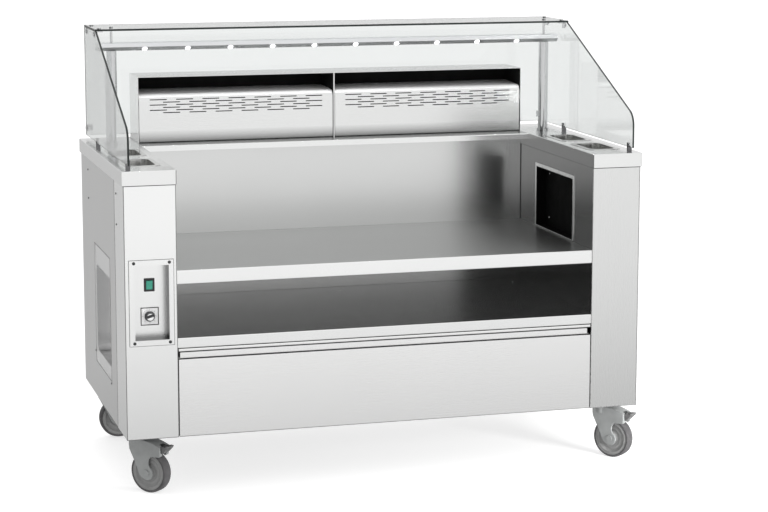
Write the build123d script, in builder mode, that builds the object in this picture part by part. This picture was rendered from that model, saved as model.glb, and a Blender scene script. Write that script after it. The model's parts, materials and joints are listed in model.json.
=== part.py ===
from build123d import *
from math import atan2, cos, degrees, radians, sin
import os

# Food service trolley: two sheet-steel columns carry a worktop, a shelf and a drawer between them,
# an air-cleaning hood and a glass screen with a lamp rail above, and it rolls on four casters.
# Millimetres, +X to the right, +Y to the back, +Z up, origin on the floor at the middle.

# ---- Overall sizes ----
total_width = 1600.0
total_depth = 836.0
cap_top = 974.0
column_width = 153.0
gauge = 1.5
bend = 3.0
cap_overhang_side = 5.0
cap_overhang_inner = 2.0
cap_overhang_front = 4.0
cap_height = 42.0
fit = 0.5
running_gap = 0.3
shaft_gap = 0.05

# ---- Worktop, shelf, ledge and drawer ----
bay_front_setback = 2.0
bay_depth = 650.0
worktop_top = 679.0
worktop_apron = 41.0
shelf_top = 480.0
shelf_apron = 30.5
return_width = 16.0
rear_fold = 28.0
ledge_depth = 81.0
ledge_lip = 18.0
drawer_reveal = 2.5
drawer_top_gap = 1.5
grip_top_lip = 8.0
grip_height = 24.0
grip_depth = 12.0
grip_end_gap = 6.0
drawer_face_top = 416.0
drawer_return = 18.0
drawer_box_depth = 540.0
drawer_box_height = 165.0
drawer_box_lift = 51.0
drawer_gauge = 1.2
slide_thickness = 6.0
slide_height = 35.0

# ---- Hood and filter cassettes ----
hood_front = 235.0
hood_depth = 157.0
hood_height = 209.0
hood_divider = 4.0
cassette_gap = 2.0
cassette_height = 151.0
cassette_rise = 6.0
cassette_depth = 147.0
cassette_setback = 3.0
cassette_gauge = 1.2
cassette_nose = 20.0
cassette_end_corner = 6.0
air_slot_length = 55.0
air_slot_height = 3.0
air_slot_margin = 34.25
air_slot_columns = 7
air_slot_level = 8.3
air_slot_center = 118.5
air_way_margin = 26.0

# ---- Glass screen and lamp rail ----
glass = 6.0
glass_inset = 24.0
glass_lift = 13.0
glass_front_inset = 16.0
glass_knee_height = 112.0
glass_knee_radius = 50.0
roof_front = 170.0
roof_height = 366.0
glass_back = 404.0
glass_gap = 0.5
clamp_height = 27.0
clamp_inner = 8.0
clamp_outer = 3.0
clamp_outer_height = 17.0
clamp_length = 14.0
clamp_ys = (-376.0, 186.0)
connector = 20.0
connector_wall = 4.0
connector_front_inset = 24.0
connector_rear_inset = 44.0
rear_connector_lift = 24.0
disc_radius = 6.0
disc_thickness = 3.0
post_radius = 16.0
post_flange_radius = 20.0
post_flange_height = 6.0
post_y = 240.0
rail_end_inset = 40.0
rail_front = 213.0
rail_depth = 53.0
rail_drop = 72.0
rail_height = 24.0
rail_wall = 2.0
lamp_count = 10
lamp_end_margin = 143.5
lamp_radius = 9.0
lamp_height = 2.5
rod_radius = 4.0

# ---- Food pans ----
pan_length = 176.0
pan_width = 108.0
pan_depth = 100.0
pan_rim = 13.0
pan_wall = 1.0
pan_taper = 4.0
pan_corner = 24.0
pan_ys = (-232.0, 5.0)

# ---- Control recess, switch and dial ----
control_width = 104.0
control_height = 223.0
control_bottom = 477.0
control_shift = 2.5
control_depth = 45.0
control_flange = 14.0
control_gauge = 1.2
switch_z = 634.0
switch_width = 31.0
switch_height = 39.0
switch_window_width = 19.0
switch_window_height = 27.0
switch_proud = 3.0
switch_body_depth = 24.0
rocker_tilt = 7.0
dial_z = 541.0
dial_width = 54.0
dial_thickness = 1.2
knob_radius = 15.5
knob_height = 18.0
knob_shaft_radius = 3.0

# ---- Recesses in the columns ----
bay_recess_y = (-247.0, 83.0)
bay_recess_lift = 3.0
bay_recess_drop = 96.0
bay_trim_lift = 2.3
bay_recess_depth = 32.0
bay_trim = 9.0
bay_plate_depth = 25.0
side_recess_y = (-145.0, 157.0)
side_recess_z = (302.0, 676.0)
side_recess_depth = 60.0
side_recess_corner = 45.0
side_frame_lap = 20.0
side_seam_y = -250.0
seam_gap = 2.0
rear_wrap = 30.0

# ---- Fan behind the back panel ----
fan_x = 0.0
fan_z = 620.0
fan_radius = 125.0
fan_depth = 120.0
fan_inlet_radius = 70.0
impeller_radius = 100.0
motor_radius = 42.0
motor_length = 48.0
motor_shaft_radius = 5.0

# ---- Casters ----
wheel_radius = 62.5
wheel_width = 34.0
tyre_thickness = 8.0
hub_radius = 15.0
axle_radius = 6.0
trail = 38.0
fork_width = 48.0
fork_slot = 40.0
fork_corner = 3.0
fork_edge = 2.5
head_radius = 26.0
head_clearance = 51.0
head_gap = 9.0
caster_side_inset = 59.0
caster_front_inset = 124.0
caster_rear_inset = 56.0
caster_angles = {"front_left": -46.0, "front_right": -52.0, "rear_left": 0.0, "rear_right": 165.0}
king_pin_radius = 6.0
mount_plate = (105.0, 85.0, 4.0)

# ---- Faces worked out from the sizes above ----
cap_out = total_width / 2
column_out = cap_out - cap_overhang_side
column_in = column_out - column_width
cap_in = column_in - cap_overhang_inner
cap_front = -total_depth / 2
cap_back = total_depth / 2
column_front = cap_front + cap_overhang_front
column_back = cap_back - cap_overhang_front
cap_under = cap_top - gauge
head_top = 2 * wheel_radius + head_clearance
column_bottom = head_top + head_gap
column_center = (column_in + column_out) / 2
bay_front = column_front + bay_front_setback
back_plane = bay_front + bay_depth
ledge_front = back_plane - ledge_depth
floor_top = column_bottom + gauge
glass_x = cap_out - glass_inset
glass_bottom = cap_top + glass_lift
glass_front = cap_front + glass_front_inset
roof_top = cap_top + roof_height
roof_under = roof_top - glass
rail_half_length = cap_out - rail_end_inset
rail_bottom = roof_top - rail_drop
lamp_pitch = 2 * (rail_half_length - lamp_end_margin) / (lamp_count - 1)
hood_back = hood_front + hood_depth
hood_half = cap_in - cap_overhang_inner
hood_top = cap_top + hood_height
drawer_half = column_in - drawer_reveal
drawer_top = shelf_top - shelf_apron - drawer_top_gap
drawer_box_bottom = column_bottom + drawer_box_lift
bay_recess_z = (worktop_top + bay_recess_lift, cap_top - bay_recess_drop)
control_center_x = control_shift - column_center
control_face = column_front - control_gauge
control_back = control_face + control_depth
caster_x = column_out - caster_side_inset
caster_front_y = column_front + caster_front_inset
caster_rear_y = column_back - caster_rear_inset
caster_spots = {
    "front_left": (-caster_x, caster_front_y),
    "front_right": (caster_x, caster_front_y),
    "rear_left": (-caster_x, caster_rear_y),
    "rear_right": (caster_x, caster_rear_y),
}


def block(x, y, z, mode=Mode.ADD):
    """A box between two limits on each axis, in the part being built."""
    with Locations(((x[0] + x[1]) / 2, (y[0] + y[1]) / 2, (z[0] + z[1]) / 2)):
        Box(abs(x[1] - x[0]), abs(y[1] - y[0]), abs(z[1] - z[0]), mode=mode)


def save(part, name):
    """Labels a finished piece and writes it under its own name."""
    part.label = name
    export_step(part, f"parts/{name}.step")


def folded_sheet(points, thickness, plane, length, radii=bend):
    """A sheet folded along the given outline, its gauge to the right of the path."""
    with BuildPart() as sheet:
        with BuildSketch(plane):
            with BuildLine():
                FilletPolyline(*points, radius=radii)
                offset(amount=thickness, side=Side.RIGHT)
            make_face()
        extrude(amount=length)
    return sheet.part


def both_sides(left):
    """The left-hand piece and its mirror image as two separate solids."""
    with BuildPart() as pair:
        add(left)
        mirror(left, about=Plane.YZ)
    return pair.part


os.makedirs("parts", exist_ok=True)

# ---- Base: floor sheet and welded tube frame ----
floor_front = column_front + drawer_return + fit
with BuildPart() as base_tray:
    block((-column_out + gauge, column_out - gauge), (column_front + gauge, column_back - gauge),
          (column_bottom, floor_top))
    fillet(base_tray.edges().filter_by(Axis.Z), bend)
    block((-column_in, column_in), (column_front, floor_front), (column_bottom, floor_top), Mode.SUBTRACT)
save(base_tray.part, "base_tray")

tube = 30.0
tube_wall = 2.0
side_rail_width = 90.0
cross_tube_ys = (floor_front + tube, column_back - 2 * tube)
with BuildPart() as base_frame:
    for side in (-1, 1):
        with Locations((side * column_center, 0, floor_top + tube / 2)):
            Box(side_rail_width, column_back - column_front - 2 * tube, tube)
            Box(side_rail_width - 2 * tube_wall, column_back - column_front, tube - 2 * tube_wall,
                mode=Mode.SUBTRACT)
    for y in cross_tube_ys:
        with Locations((0, y, floor_top + tube / 2)):
            Box(2 * column_in, tube, tube)
            Box(2 * column_in, tube - 2 * tube_wall, tube - 2 * tube_wall, mode=Mode.SUBTRACT)
save(base_frame.part, "base_frame")

# ---- Column skins ----
front_outline = [(-column_in, column_front), (-column_out, column_front), (-column_out, side_seam_y)]
plain_front = folded_sheet(front_outline, gauge, Plane.XY.offset(column_bottom), cap_under - column_bottom)
control_x = (control_center_x - control_width / 2, control_center_x + control_width / 2)
control_z = (control_bottom, control_bottom + control_height)
with BuildPart() as left_front_panel:
    add(plain_front)
    block(control_x, (column_front - gauge, column_front + 2 * gauge), control_z, Mode.SUBTRACT)
save(left_front_panel.part, "left_front_panel")

with BuildPart() as right_front_panel:
    mirror(plain_front, about=Plane.YZ)
save(right_front_panel.part, "right_front_panel")

outer_outline = [(-column_out, side_seam_y + seam_gap), (-column_out, column_back),
                 (-column_out + rear_wrap, column_back)]
side_recess_size = (side_recess_y[1] - side_recess_y[0], side_recess_z[1] - side_recess_z[0])
side_recess_middle = (sum(side_recess_y) / 2, sum(side_recess_z) / 2)
plain_outer = folded_sheet(outer_outline, gauge, Plane.XY.offset(floor_top), cap_under - floor_top)
with BuildPart() as left_outer_panel:
    add(plain_outer)
    with BuildSketch(Plane.YZ.offset(-column_out - gauge)):
        with Locations(side_recess_middle):
            opening = Rectangle(*side_recess_size)
        fillet(opening.vertices().group_by(Axis.Y)[0], side_recess_corner)
    extrude(amount=3 * gauge, mode=Mode.SUBTRACT)
save(both_sides(left_outer_panel.part), "outer_panels")

bay_recess_size = (bay_recess_y[1] - bay_recess_y[0], bay_recess_z[1] - bay_recess_z[0])
with BuildPart() as left_inner_panel:
    block((-column_in - gauge, -column_in), (column_front + gauge, column_back - gauge), (floor_top, cap_under))
    block((-column_in - 2 * gauge, -column_in + gauge), bay_recess_y, bay_recess_z, Mode.SUBTRACT)
save(both_sides(left_inner_panel.part), "inner_panels")

# The rear and back panels are notched where the inner skirts of the caps hang over the columns.
skirt_notch_x = (cap_in - running_gap, column_in)
skirt_notch_z = (cap_top - cap_height - fit, cap_top)
with BuildPart() as rear_panel:
    block((-column_out + rear_wrap + fit, column_out - rear_wrap - fit), (column_back - gauge, column_back),
          (floor_top, cap_under))
    for side in (-1, 1):
        block([side * x for x in skirt_notch_x], (column_back - 2 * gauge, column_back + gauge),
              skirt_notch_z, Mode.SUBTRACT)
save(rear_panel.part, "rear_panel")

with BuildPart() as back_panel:
    block((-column_in, column_in), (back_plane, back_plane + gauge), (floor_top, cap_under))
    for side in (-1, 1):
        block([side * x for x in skirt_notch_x], (back_plane - gauge, back_plane + 2 * gauge),
              skirt_notch_z, Mode.SUBTRACT)
save(back_panel.part, "back_panel")

# ---- Column caps with their pan cut-outs ----
pan_body_length = pan_length - 2 * pan_rim
pan_body_width = pan_width - 2 * pan_rim
cut_out_gap = 1.5
with BuildPart() as left_cap:
    block((-cap_out, -cap_in), (cap_front, cap_back), (cap_top - cap_height, cap_top))
    fillet(left_cap.edges().filter_by(Axis.Z), bend)
    fillet(left_cap.faces().sort_by(Axis.Z)[-1].edges(), bend - 1)
    offset(amount=-gauge, openings=left_cap.faces().sort_by(Axis.Z)[0])
    with BuildSketch(Plane.XY.offset(cap_top)):
        with Locations(*[(-column_center, y) for y in pan_ys]):
            RectangleRounded(pan_body_width + 2 * cut_out_gap, pan_body_length + 2 * cut_out_gap,
                             pan_corner)
    extrude(amount=-2 * gauge, mode=Mode.SUBTRACT)
save(both_sides(left_cap.part), "column_caps")

# ---- Worktop, lower shelf and ledge: folded sheets across the bay ----
def bay_sheet(top, apron):
    outline = [(bay_front + return_width, top - apron), (bay_front, top - apron), (bay_front, top),
               (back_plane, top), (back_plane, top - rear_fold)]
    return folded_sheet(outline, gauge, Plane.YZ.offset(-column_in), 2 * column_in)


save(bay_sheet(worktop_top, worktop_apron), "worktop")
save(bay_sheet(shelf_top, shelf_apron), "lower_shelf")

ledge_half = cap_in - running_gap
ledge_outline = [(ledge_front, cap_top - ledge_lip), (ledge_front, cap_top), (cap_back, cap_top),
                 (cap_back, cap_top - cap_height)]
air_way_x = (hood_divider / 2 + air_way_margin, hood_half - air_way_margin)
air_way_y = (hood_front + air_way_margin, hood_back - air_way_margin)
with BuildPart() as ledge:
    add(folded_sheet(ledge_outline, gauge, Plane.YZ.offset(-ledge_half), 2 * ledge_half))
    for side in (-1, 1):
        block([side * x for x in air_way_x], air_way_y, (cap_under - gauge, cap_top + gauge), Mode.SUBTRACT)
save(ledge.part, "ledge")

# ---- Hood housing: open at the front, split by a divider ----
with BuildPart() as hood_housing:
    block((-hood_half, hood_half), (hood_front, hood_back), (cap_top, hood_top))
    for side in (-1, 1):
        block((side * hood_divider / 2, side * (hood_half - gauge)), (hood_front - gauge, hood_back - gauge),
              (cap_top - gauge, hood_top - gauge), Mode.SUBTRACT)
save(hood_housing.part, "hood_housing")

# ---- Filter cassettes: slotted fronts that pull out forwards ----
cassette_x = (hood_divider / 2 + cassette_gap, hood_half - gauge - cassette_gap)
cassette_length = cassette_x[1] - cassette_x[0]
cassette_bottom = cap_top + running_gap * 3
cassette_front = hood_front + cassette_setback
cassette_back = cassette_front + cassette_depth
cassette_shoulder = cassette_bottom + cassette_height
cassette_crest = cassette_shoulder + cassette_rise
cassette_outline = [(cassette_front + return_width, cassette_bottom), (cassette_front, cassette_bottom),
                    (cassette_front, cassette_shoulder), (cassette_back, cassette_crest),
                    (cassette_back, cassette_crest - return_width)]
cassette_side = [(cassette_front + cassette_end_corner, cassette_bottom + gauge),
                 (cassette_front + cassette_gauge, cassette_bottom + cassette_end_corner),
                 (cassette_front + cassette_gauge, cassette_shoulder - cassette_nose),
                 (cassette_front + cassette_nose, cassette_shoulder - cassette_gauge),
                 (cassette_back - cassette_gauge - bend, cassette_crest - 2 * cassette_gauge - 1),
                 (cassette_back - cassette_gauge - bend, cassette_bottom + gauge)]
air_slot_pitch = (cassette_length - 2 * air_slot_margin - air_slot_length) / (air_slot_columns - 1)
with BuildPart() as left_filter_cassette:
    add(folded_sheet(cassette_outline, cassette_gauge, Plane.YZ.offset(-cassette_x[1]), cassette_length,
                     (bend, cassette_nose, bend)))
    for start in (-cassette_x[1], -cassette_x[0] - cassette_gauge):
        with BuildSketch(Plane.YZ.offset(start)):
            with BuildLine():
                Polyline(*cassette_side, close=True)
            make_face()
        extrude(amount=cassette_gauge)
    slot_middle = (-(cassette_x[0] + cassette_x[1]) / 2, cassette_bottom + air_slot_center)
    with BuildSketch(Plane.XZ.offset(-cassette_front + gauge)):
        with Locations(slot_middle):
            with GridLocations(air_slot_pitch, 2 * air_slot_level, air_slot_columns, 3):
                SlotOverall(air_slot_length, air_slot_height)
            with GridLocations(air_slot_pitch, 2 * air_slot_level, air_slot_columns - 1, 4):
                SlotOverall(air_slot_length, air_slot_height)
    extrude(amount=-3 * gauge, mode=Mode.SUBTRACT)
save(left_filter_cassette.part, "left_filter_cassette")

with BuildPart() as right_filter_cassette:
    mirror(left_filter_cassette.part, about=Plane.YZ)
save(right_filter_cassette.part, "right_filter_cassette")

# ---- Glass screen: two sides, a roof and a rear pane ----
with BuildPart() as left_glass:
    with BuildSketch(Plane.YZ.offset(-glass_x - glass / 2)) as side_pane:
        with BuildLine():
            Polyline((glass_front, glass_bottom), (glass_front, cap_top + glass_knee_height),
                     (roof_front, roof_under - glass_gap), (glass_back - glass - glass_gap, roof_under - glass_gap),
                     (glass_back - glass - glass_gap, glass_bottom), close=True)
        make_face()
        knee = side_pane.vertices().sort_by(Axis.X)[0:2].sort_by(Axis.Y)[-1]
        fillet(knee, glass_knee_radius)
    extrude(amount=glass)
    chamfer(left_glass.edges().filter_by(Axis.X, reverse=True), 0.6)
save(both_sides(left_glass.part), "side_glasses")

pane_half = glass_x + glass / 2
with BuildPart() as top_glass:
    block((-pane_half, pane_half), (roof_front, glass_back), (roof_under, roof_top))
    chamfer(top_glass.edges(), 0.6)
save(top_glass.part, "top_glass")

with BuildPart() as rear_glass:
    block((-pane_half, pane_half), (glass_back - glass, glass_back), (glass_bottom, roof_under - glass_gap))
    chamfer(rear_glass.edges(), 0.6)
save(rear_glass.part, "rear_glass")

# ---- Clamps that hold the side panes on the caps: a tall inner jaw and a low outer plate ----
inner_jaw_x = (glass_x - glass / 2 - clamp_inner, glass_x)
outer_jaw_x = (glass_x, glass_x + glass / 2 + clamp_outer)
with BuildPart() as glass_clamps:
    for side in (-1, 1):
        for y in clamp_ys:
            clamp_y = (y - clamp_length / 2, y + clamp_length / 2)
            block([side * x for x in inner_jaw_x], clamp_y, (cap_top, cap_top + clamp_height))
            block([side * x for x in outer_jaw_x], clamp_y, (cap_top, cap_top + clamp_outer_height))
            block((side * (glass_x - glass / 2), side * (glass_x + glass / 2)),
                  (y - clamp_length, y + clamp_length), (glass_bottom, cap_top + clamp_height + 1),
                  Mode.SUBTRACT)
save(glass_clamps.part, "glass_clamps")

# ---- Corner connectors between the panes, with a round disc outside each pane ----
pane_inner_x = glass_x - glass / 2
pane_outer_x = glass_x + glass / 2
rear_inner_y = glass_back - glass
roof_connector_ys = (roof_front + connector_front_inset, rear_inner_y - connector_rear_inset)
rear_connector_z = glass_bottom + rear_connector_lift
connector_x = (-pane_inner_x, -pane_inner_x + connector)
connector_middle_x = sum(connector_x) / 2
hollow_x = (-pane_inner_x + connector_wall, -pane_inner_x + connector + 1)
with BuildPart() as left_connectors:
    for y in roof_connector_ys:
        block(connector_x, (y - connector / 2, y + connector / 2), (roof_under - connector, roof_under))
        block(hollow_x, (y - connector, y + connector),
              (roof_under - connector - 1, roof_under - connector_wall), Mode.SUBTRACT)
        with Locations((connector_middle_x, y, roof_top + disc_thickness / 2)):
            Cylinder(disc_radius, disc_thickness)
        with Locations(Location((-pane_outer_x - disc_thickness / 2, y, roof_under - connector / 2), (0, 90, 0))):
            Cylinder(disc_radius, disc_thickness)
    block(connector_x, (rear_inner_y - connector, rear_inner_y),
          (rear_connector_z - connector / 2, rear_connector_z + connector / 2))
    block(hollow_x, (rear_inner_y - connector - 1, rear_inner_y - connector_wall),
          (rear_connector_z - connector, rear_connector_z + connector), Mode.SUBTRACT)
    with Locations(Location((connector_middle_x, glass_back + disc_thickness / 2, rear_connector_z), (90, 0, 0))):
        Cylinder(disc_radius, disc_thickness)
    with Locations(Location((-pane_outer_x - disc_thickness / 2, rear_inner_y - connector / 2,
                             rear_connector_z), (0, 90, 0))):
        Cylinder(disc_radius, disc_thickness)
save(both_sides(left_connectors.part), "glass_connectors")

# ---- Posts, lamp rail and lamps ----
rail_top = rail_bottom + rail_height
rod_length = roof_under - rail_top
with BuildPart() as left_post:
    with Locations((-column_center, post_y, cap_top)):
        Cylinder(post_flange_radius, post_flange_height, align=(Align.CENTER, Align.CENTER, Align.MIN))
        Cylinder(post_radius, rail_bottom - cap_top, align=(Align.CENTER, Align.CENTER, Align.MIN))
    with Locations((-column_center, post_y, rail_top)):
        Cylinder(rod_radius, rod_length, align=(Align.CENTER, Align.CENTER, Align.MIN))
    with Locations((-column_center, post_y, roof_top)):
        Cylinder(disc_radius, disc_thickness, align=(Align.CENTER, Align.CENTER, Align.MIN))
save(both_sides(left_post.part), "light_posts")

rail_slant = 12.0
rail_slant_depth = 15.0
rail_back = rail_front + rail_depth
with BuildPart() as light_rail:
    with BuildSketch(Plane.YZ.offset(-rail_half_length)) as rail_section:
        with BuildLine():
            Polyline((rail_front, rail_bottom + rail_slant), (rail_front, rail_top), (rail_back, rail_top),
                     (rail_back, rail_bottom), (rail_front + rail_slant_depth, rail_bottom), close=True)
        make_face()
        offset(amount=-rail_wall, mode=Mode.SUBTRACT)
    extrude(amount=2 * rail_half_length)
    for side in (-1, 1):
        block((side * (rail_half_length - rail_wall), side * rail_half_length),
              (rail_front + rail_slant_depth, rail_back), (rail_bottom, rail_top))
save(light_rail.part, "light_rail")

# Each lamp sits on the slanted face of the rail and points down and forwards.
slant_angle = degrees(atan2(rail_slant, rail_slant_depth))
slant_middle = (rail_front + rail_slant_depth / 2, rail_bottom + rail_slant / 2)
lamp_plane = Plane(origin=(0, slant_middle[0], slant_middle[1]), x_dir=(1, 0, 0),
                   z_dir=(0, -sin(radians(slant_angle)), -cos(radians(slant_angle))))
with BuildPart() as led_lamps:
    with BuildSketch(lamp_plane):
        with GridLocations(lamp_pitch, 1, lamp_count, 1):
            Circle(lamp_radius)
    extrude(amount=lamp_height)
save(led_lamps.part, "led_lamps")

# ---- Food pans: stepped rim and tapered well ----
def food_pan():
    with BuildPart() as pan:
        with BuildSketch(Plane.XY):
            RectangleRounded(pan_width, pan_length, pan_corner - 2)
        extrude(amount=pan_wall)
        with BuildSketch(Plane.XY):
            RectangleRounded(pan_body_width, pan_body_length, pan_corner)
        extrude(amount=-pan_depth, taper=pan_taper)
        with BuildSketch(Plane.XY.offset(pan_wall)):
            RectangleRounded(pan_body_width - 2 * pan_wall, pan_body_length - 2 * pan_wall,
                             pan_corner - pan_wall)
        extrude(amount=-pan_depth, taper=pan_taper, mode=Mode.SUBTRACT)
    return pan.part


pan_shape = food_pan()
for side_name, side in (("left", -1), ("right", 1)):
    for place, pan_y in zip(("front", "back"), pan_ys):
        with BuildPart() as pan_node:
            with Locations((side * column_center, pan_y, cap_top)):
                add(pan_shape)
        save(pan_node.part, f"{side_name}_{place}_pan")

# ---- Control recess in the left column ----
pocket_x = (control_x[0] + fit, control_x[1] - fit)
pocket_z = (control_z[0] + fit, control_z[1] - fit)
with BuildPart() as control_recess:
    block((control_x[0] - control_flange, control_x[1] + control_flange - 2), (control_face, column_front),
          (control_z[0] - control_flange, control_z[1] + control_flange))
    block(pocket_x, (column_front, control_back + control_gauge), pocket_z)
    block((pocket_x[0] + control_gauge, pocket_x[1] - control_gauge), (control_face - 1, control_back),
          (pocket_z[0] + control_gauge, pocket_z[1] - control_gauge), Mode.SUBTRACT)
    block((control_center_x - switch_window_width / 2 - 4, control_center_x + switch_window_width / 2 + 4),
          (control_back - 1, control_back + 2 * control_gauge),
          (switch_z - switch_window_height / 2 - 4, switch_z + switch_window_height / 2 + 4), Mode.SUBTRACT)
    with Locations(Location((control_center_x, control_back + control_gauge / 2, dial_z), (90, 0, 0))):
        Cylinder(knob_shaft_radius + 1, 3 * control_gauge, mode=Mode.SUBTRACT)
save(control_recess.part, "control_recess")

# Rocker switch: bezel with a body behind the panel, and a rocker that tips about a level axis.
window_depth = 12.0
rocker_gap = 0.4
rocker_face = 3.5
with BuildPart() as switch_bezel:
    block((control_center_x - switch_width / 2, control_center_x + switch_width / 2),
          (control_back - switch_proud, control_back),
          (switch_z - switch_height / 2, switch_z + switch_height / 2))
    fillet(switch_bezel.edges().filter_by(Axis.Y), 1.5)
    chamfer(switch_bezel.faces().sort_by(Axis.Y)[0].edges(), 0.8)
    block((control_center_x - switch_window_width / 2 - 3.5, control_center_x + switch_window_width / 2 + 3.5),
          (control_back, control_back + switch_body_depth),
          (switch_z - switch_window_height / 2 - 3.5, switch_z + switch_window_height / 2 + 3.5))
    block((control_center_x - switch_window_width / 2, control_center_x + switch_window_width / 2),
          (control_back - switch_proud - 1, control_back + window_depth),
          (switch_z - switch_window_height / 2, switch_z + switch_window_height / 2), Mode.SUBTRACT)
save(switch_bezel.part, "switch_bezel")

rocker_half = switch_window_height / 2 - 0.7
rocker_width = switch_window_width - 2 * rocker_gap
rocker_axis_y = control_back - 1
rocker_plane = Plane(origin=(control_center_x - rocker_width / 2, rocker_axis_y, switch_z),
                     x_dir=(0, cos(radians(rocker_tilt)), sin(radians(rocker_tilt))), z_dir=(1, 0, 0))
with BuildPart() as switch_rocker:
    with BuildSketch(rocker_plane):
        with BuildLine():
            front_face = ThreePointArc((-rocker_face, rocker_half), (-rocker_face + 1.6, 0),
                                       (-rocker_face, -rocker_half))
            Polyline(front_face @ 1, (2, -rocker_half), (6, -4), (6, 4), (2, rocker_half), front_face @ 0)
        make_face()
    extrude(amount=rocker_width)
save(switch_rocker.part, "switch_rocker")

with BuildPart() as dial_plate:
    block((control_center_x - dial_width / 2, control_center_x + dial_width / 2),
          (control_back - dial_thickness, control_back), (dial_z - dial_width / 2, dial_z + dial_width / 2))
    fillet(dial_plate.edges().filter_by(Axis.Y), 2)
    with Locations(Location((control_center_x, control_back, dial_z), (90, 0, 0))):
        Cylinder(knob_shaft_radius + 1, 4 * dial_thickness, mode=Mode.SUBTRACT)
save(dial_plate.part, "dial_plate")

knob_back = control_back - dial_thickness - running_gap
with BuildPart() as control_knob:
    with BuildSketch(Plane.XZ.offset(-knob_back)):
        with Locations((control_center_x, dial_z)):
            Circle(knob_radius)
    extrude(amount=knob_height * 0.35, taper=12)
    with BuildSketch(Plane.XZ.offset(-knob_back + knob_height * 0.3)):
        with Locations((control_center_x, dial_z)):
            Circle(knob_radius * 0.68)
    extrude(amount=knob_height * 0.7, taper=5)
    fillet(control_knob.faces().sort_by(Axis.Y)[0].edges(), 1.0)
    with BuildSketch(Plane.XZ.offset(-knob_back - knob_height * 0.6)):
        with Locations((control_center_x, dial_z)):
            Circle(knob_shaft_radius)
    extrude(amount=knob_height * 0.7)
save(control_knob.part, "control_knob")

# ---- Recess in the inner side of each column, with its trim frame and plate ----
trim_bottom = worktop_top + bay_trim_lift
with BuildPart() as left_bay_recess:
    block((-column_in, -column_in + gauge), (bay_recess_y[0] - bay_trim, bay_recess_y[1] + bay_trim),
          (trim_bottom, bay_recess_z[1] + bay_trim))
    block((-column_in - bay_recess_depth, -column_in), (bay_recess_y[0] + fit, bay_recess_y[1] - fit),
          (bay_recess_z[0] + fit, bay_recess_z[1] - fit))
    block((-column_in - bay_recess_depth + gauge, -column_in + 2 * gauge),
          (bay_recess_y[0] + fit + gauge, bay_recess_y[1] - fit - gauge),
          (bay_recess_z[0] + fit + gauge, bay_recess_z[1] - fit - gauge), Mode.SUBTRACT)
save(both_sides(left_bay_recess.part), "bay_recesses")

plate_x = -column_in - bay_plate_depth
with BuildPart() as left_bay_plate:
    block((plate_x - 2, plate_x), (bay_recess_y[0] + fit + gauge, bay_recess_y[1] - fit - gauge),
          (bay_recess_z[0] + fit + gauge, bay_recess_z[1] - fit - gauge))
save(both_sides(left_bay_plate.part), "bay_plates")

# ---- Recess in the outer side of each column: a set-back frame with a pocket behind it ----
side_skin = -column_out + gauge
frame_y = (side_recess_y[0] - side_frame_lap, side_recess_y[1] + side_frame_lap)
frame_z = (side_recess_z[0] - side_frame_lap, side_recess_z[1] + side_frame_lap)
mouth_y = (side_recess_y[0] + 2, side_recess_y[1] - 22)
mouth_z = (side_recess_z[0] + 40, side_recess_z[1] - 62)
mouth_middle = (sum(mouth_y) / 2, sum(mouth_z) / 2)
mouth_size = (mouth_y[1] - mouth_y[0], mouth_z[1] - mouth_z[0])
mouth_corner = 26.0
with BuildPart() as left_side_recess:
    block((side_skin, side_skin + gauge), frame_y, frame_z)
    with BuildSketch(Plane.YZ.offset(side_skin)):
        with Locations(mouth_middle):
            RectangleRounded(mouth_size[0] + 2 * gauge, mouth_size[1] + 2 * gauge, mouth_corner + gauge)
    extrude(amount=side_recess_depth)
    with BuildSketch(Plane.YZ.offset(side_skin - 1)):
        with Locations(mouth_middle):
            RectangleRounded(*mouth_size, mouth_corner)
    extrude(amount=side_recess_depth + 1 - gauge, mode=Mode.SUBTRACT)
save(both_sides(left_side_recess.part), "side_recesses")

# ---- Screw heads ----
head_size = 4.8
small_head = 3.2


def one_head(spot, direction, radius):
    with BuildPart() as head:
        with BuildSketch(Plane(origin=spot, z_dir=direction)):
            Circle(radius)
        extrude(amount=radius * 0.5)
        fillet(head.edges().filter_by(GeomType.CIRCLE).sort_by(Axis(spot, direction))[-1], radius * 0.42)
    return head.part


screw_inset = 6.0
control_spots = [(x, control_face, z) for x in control_x for z in (control_z[0] - screw_inset,
                                                                  control_z[1] + screw_inset)]
side_screw_ys = (side_seam_y - 35.0, 266.0)
side_screw_drops = (172.0, 81.0)
side_spots = [(y, cap_top - drop) for y in side_screw_ys for drop in side_screw_drops]
side_spots += [(side_recess_y[0] + 4, side_recess_z[0] - 8), (side_recess_y[1] + 9, side_recess_z[0] + 30)]
shelf_screw_reach = column_in - 52.0
shelf_spots = [(x * shelf_screw_reach / 2, back_plane - 77.0, shelf_top) for x in (-2, -1, 0, 1, 2)]
plate_spots = [(y, z) for y in (bay_recess_y[0] + 47.0, bay_recess_y[1] - 54.0)
               for z in (bay_recess_z[0] + 31.0, bay_recess_z[1] - 21.0)]
with BuildPart() as panel_screws:
    for spot in control_spots:
        add(one_head(spot, (0, -1, 0), head_size))
    for side in (-1, 1):
        for y, z in side_spots:
            add(one_head((side * column_out, y, z), (side, 0, 0), small_head))
        for y, z in plate_spots:
            add(one_head((side * (column_in + bay_plate_depth), y, z), (-side, 0, 0), small_head))
    for spot in shelf_spots:
        add(one_head(spot, (0, 0, 1), small_head))
save(panel_screws.part, "panel_screws")

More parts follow.
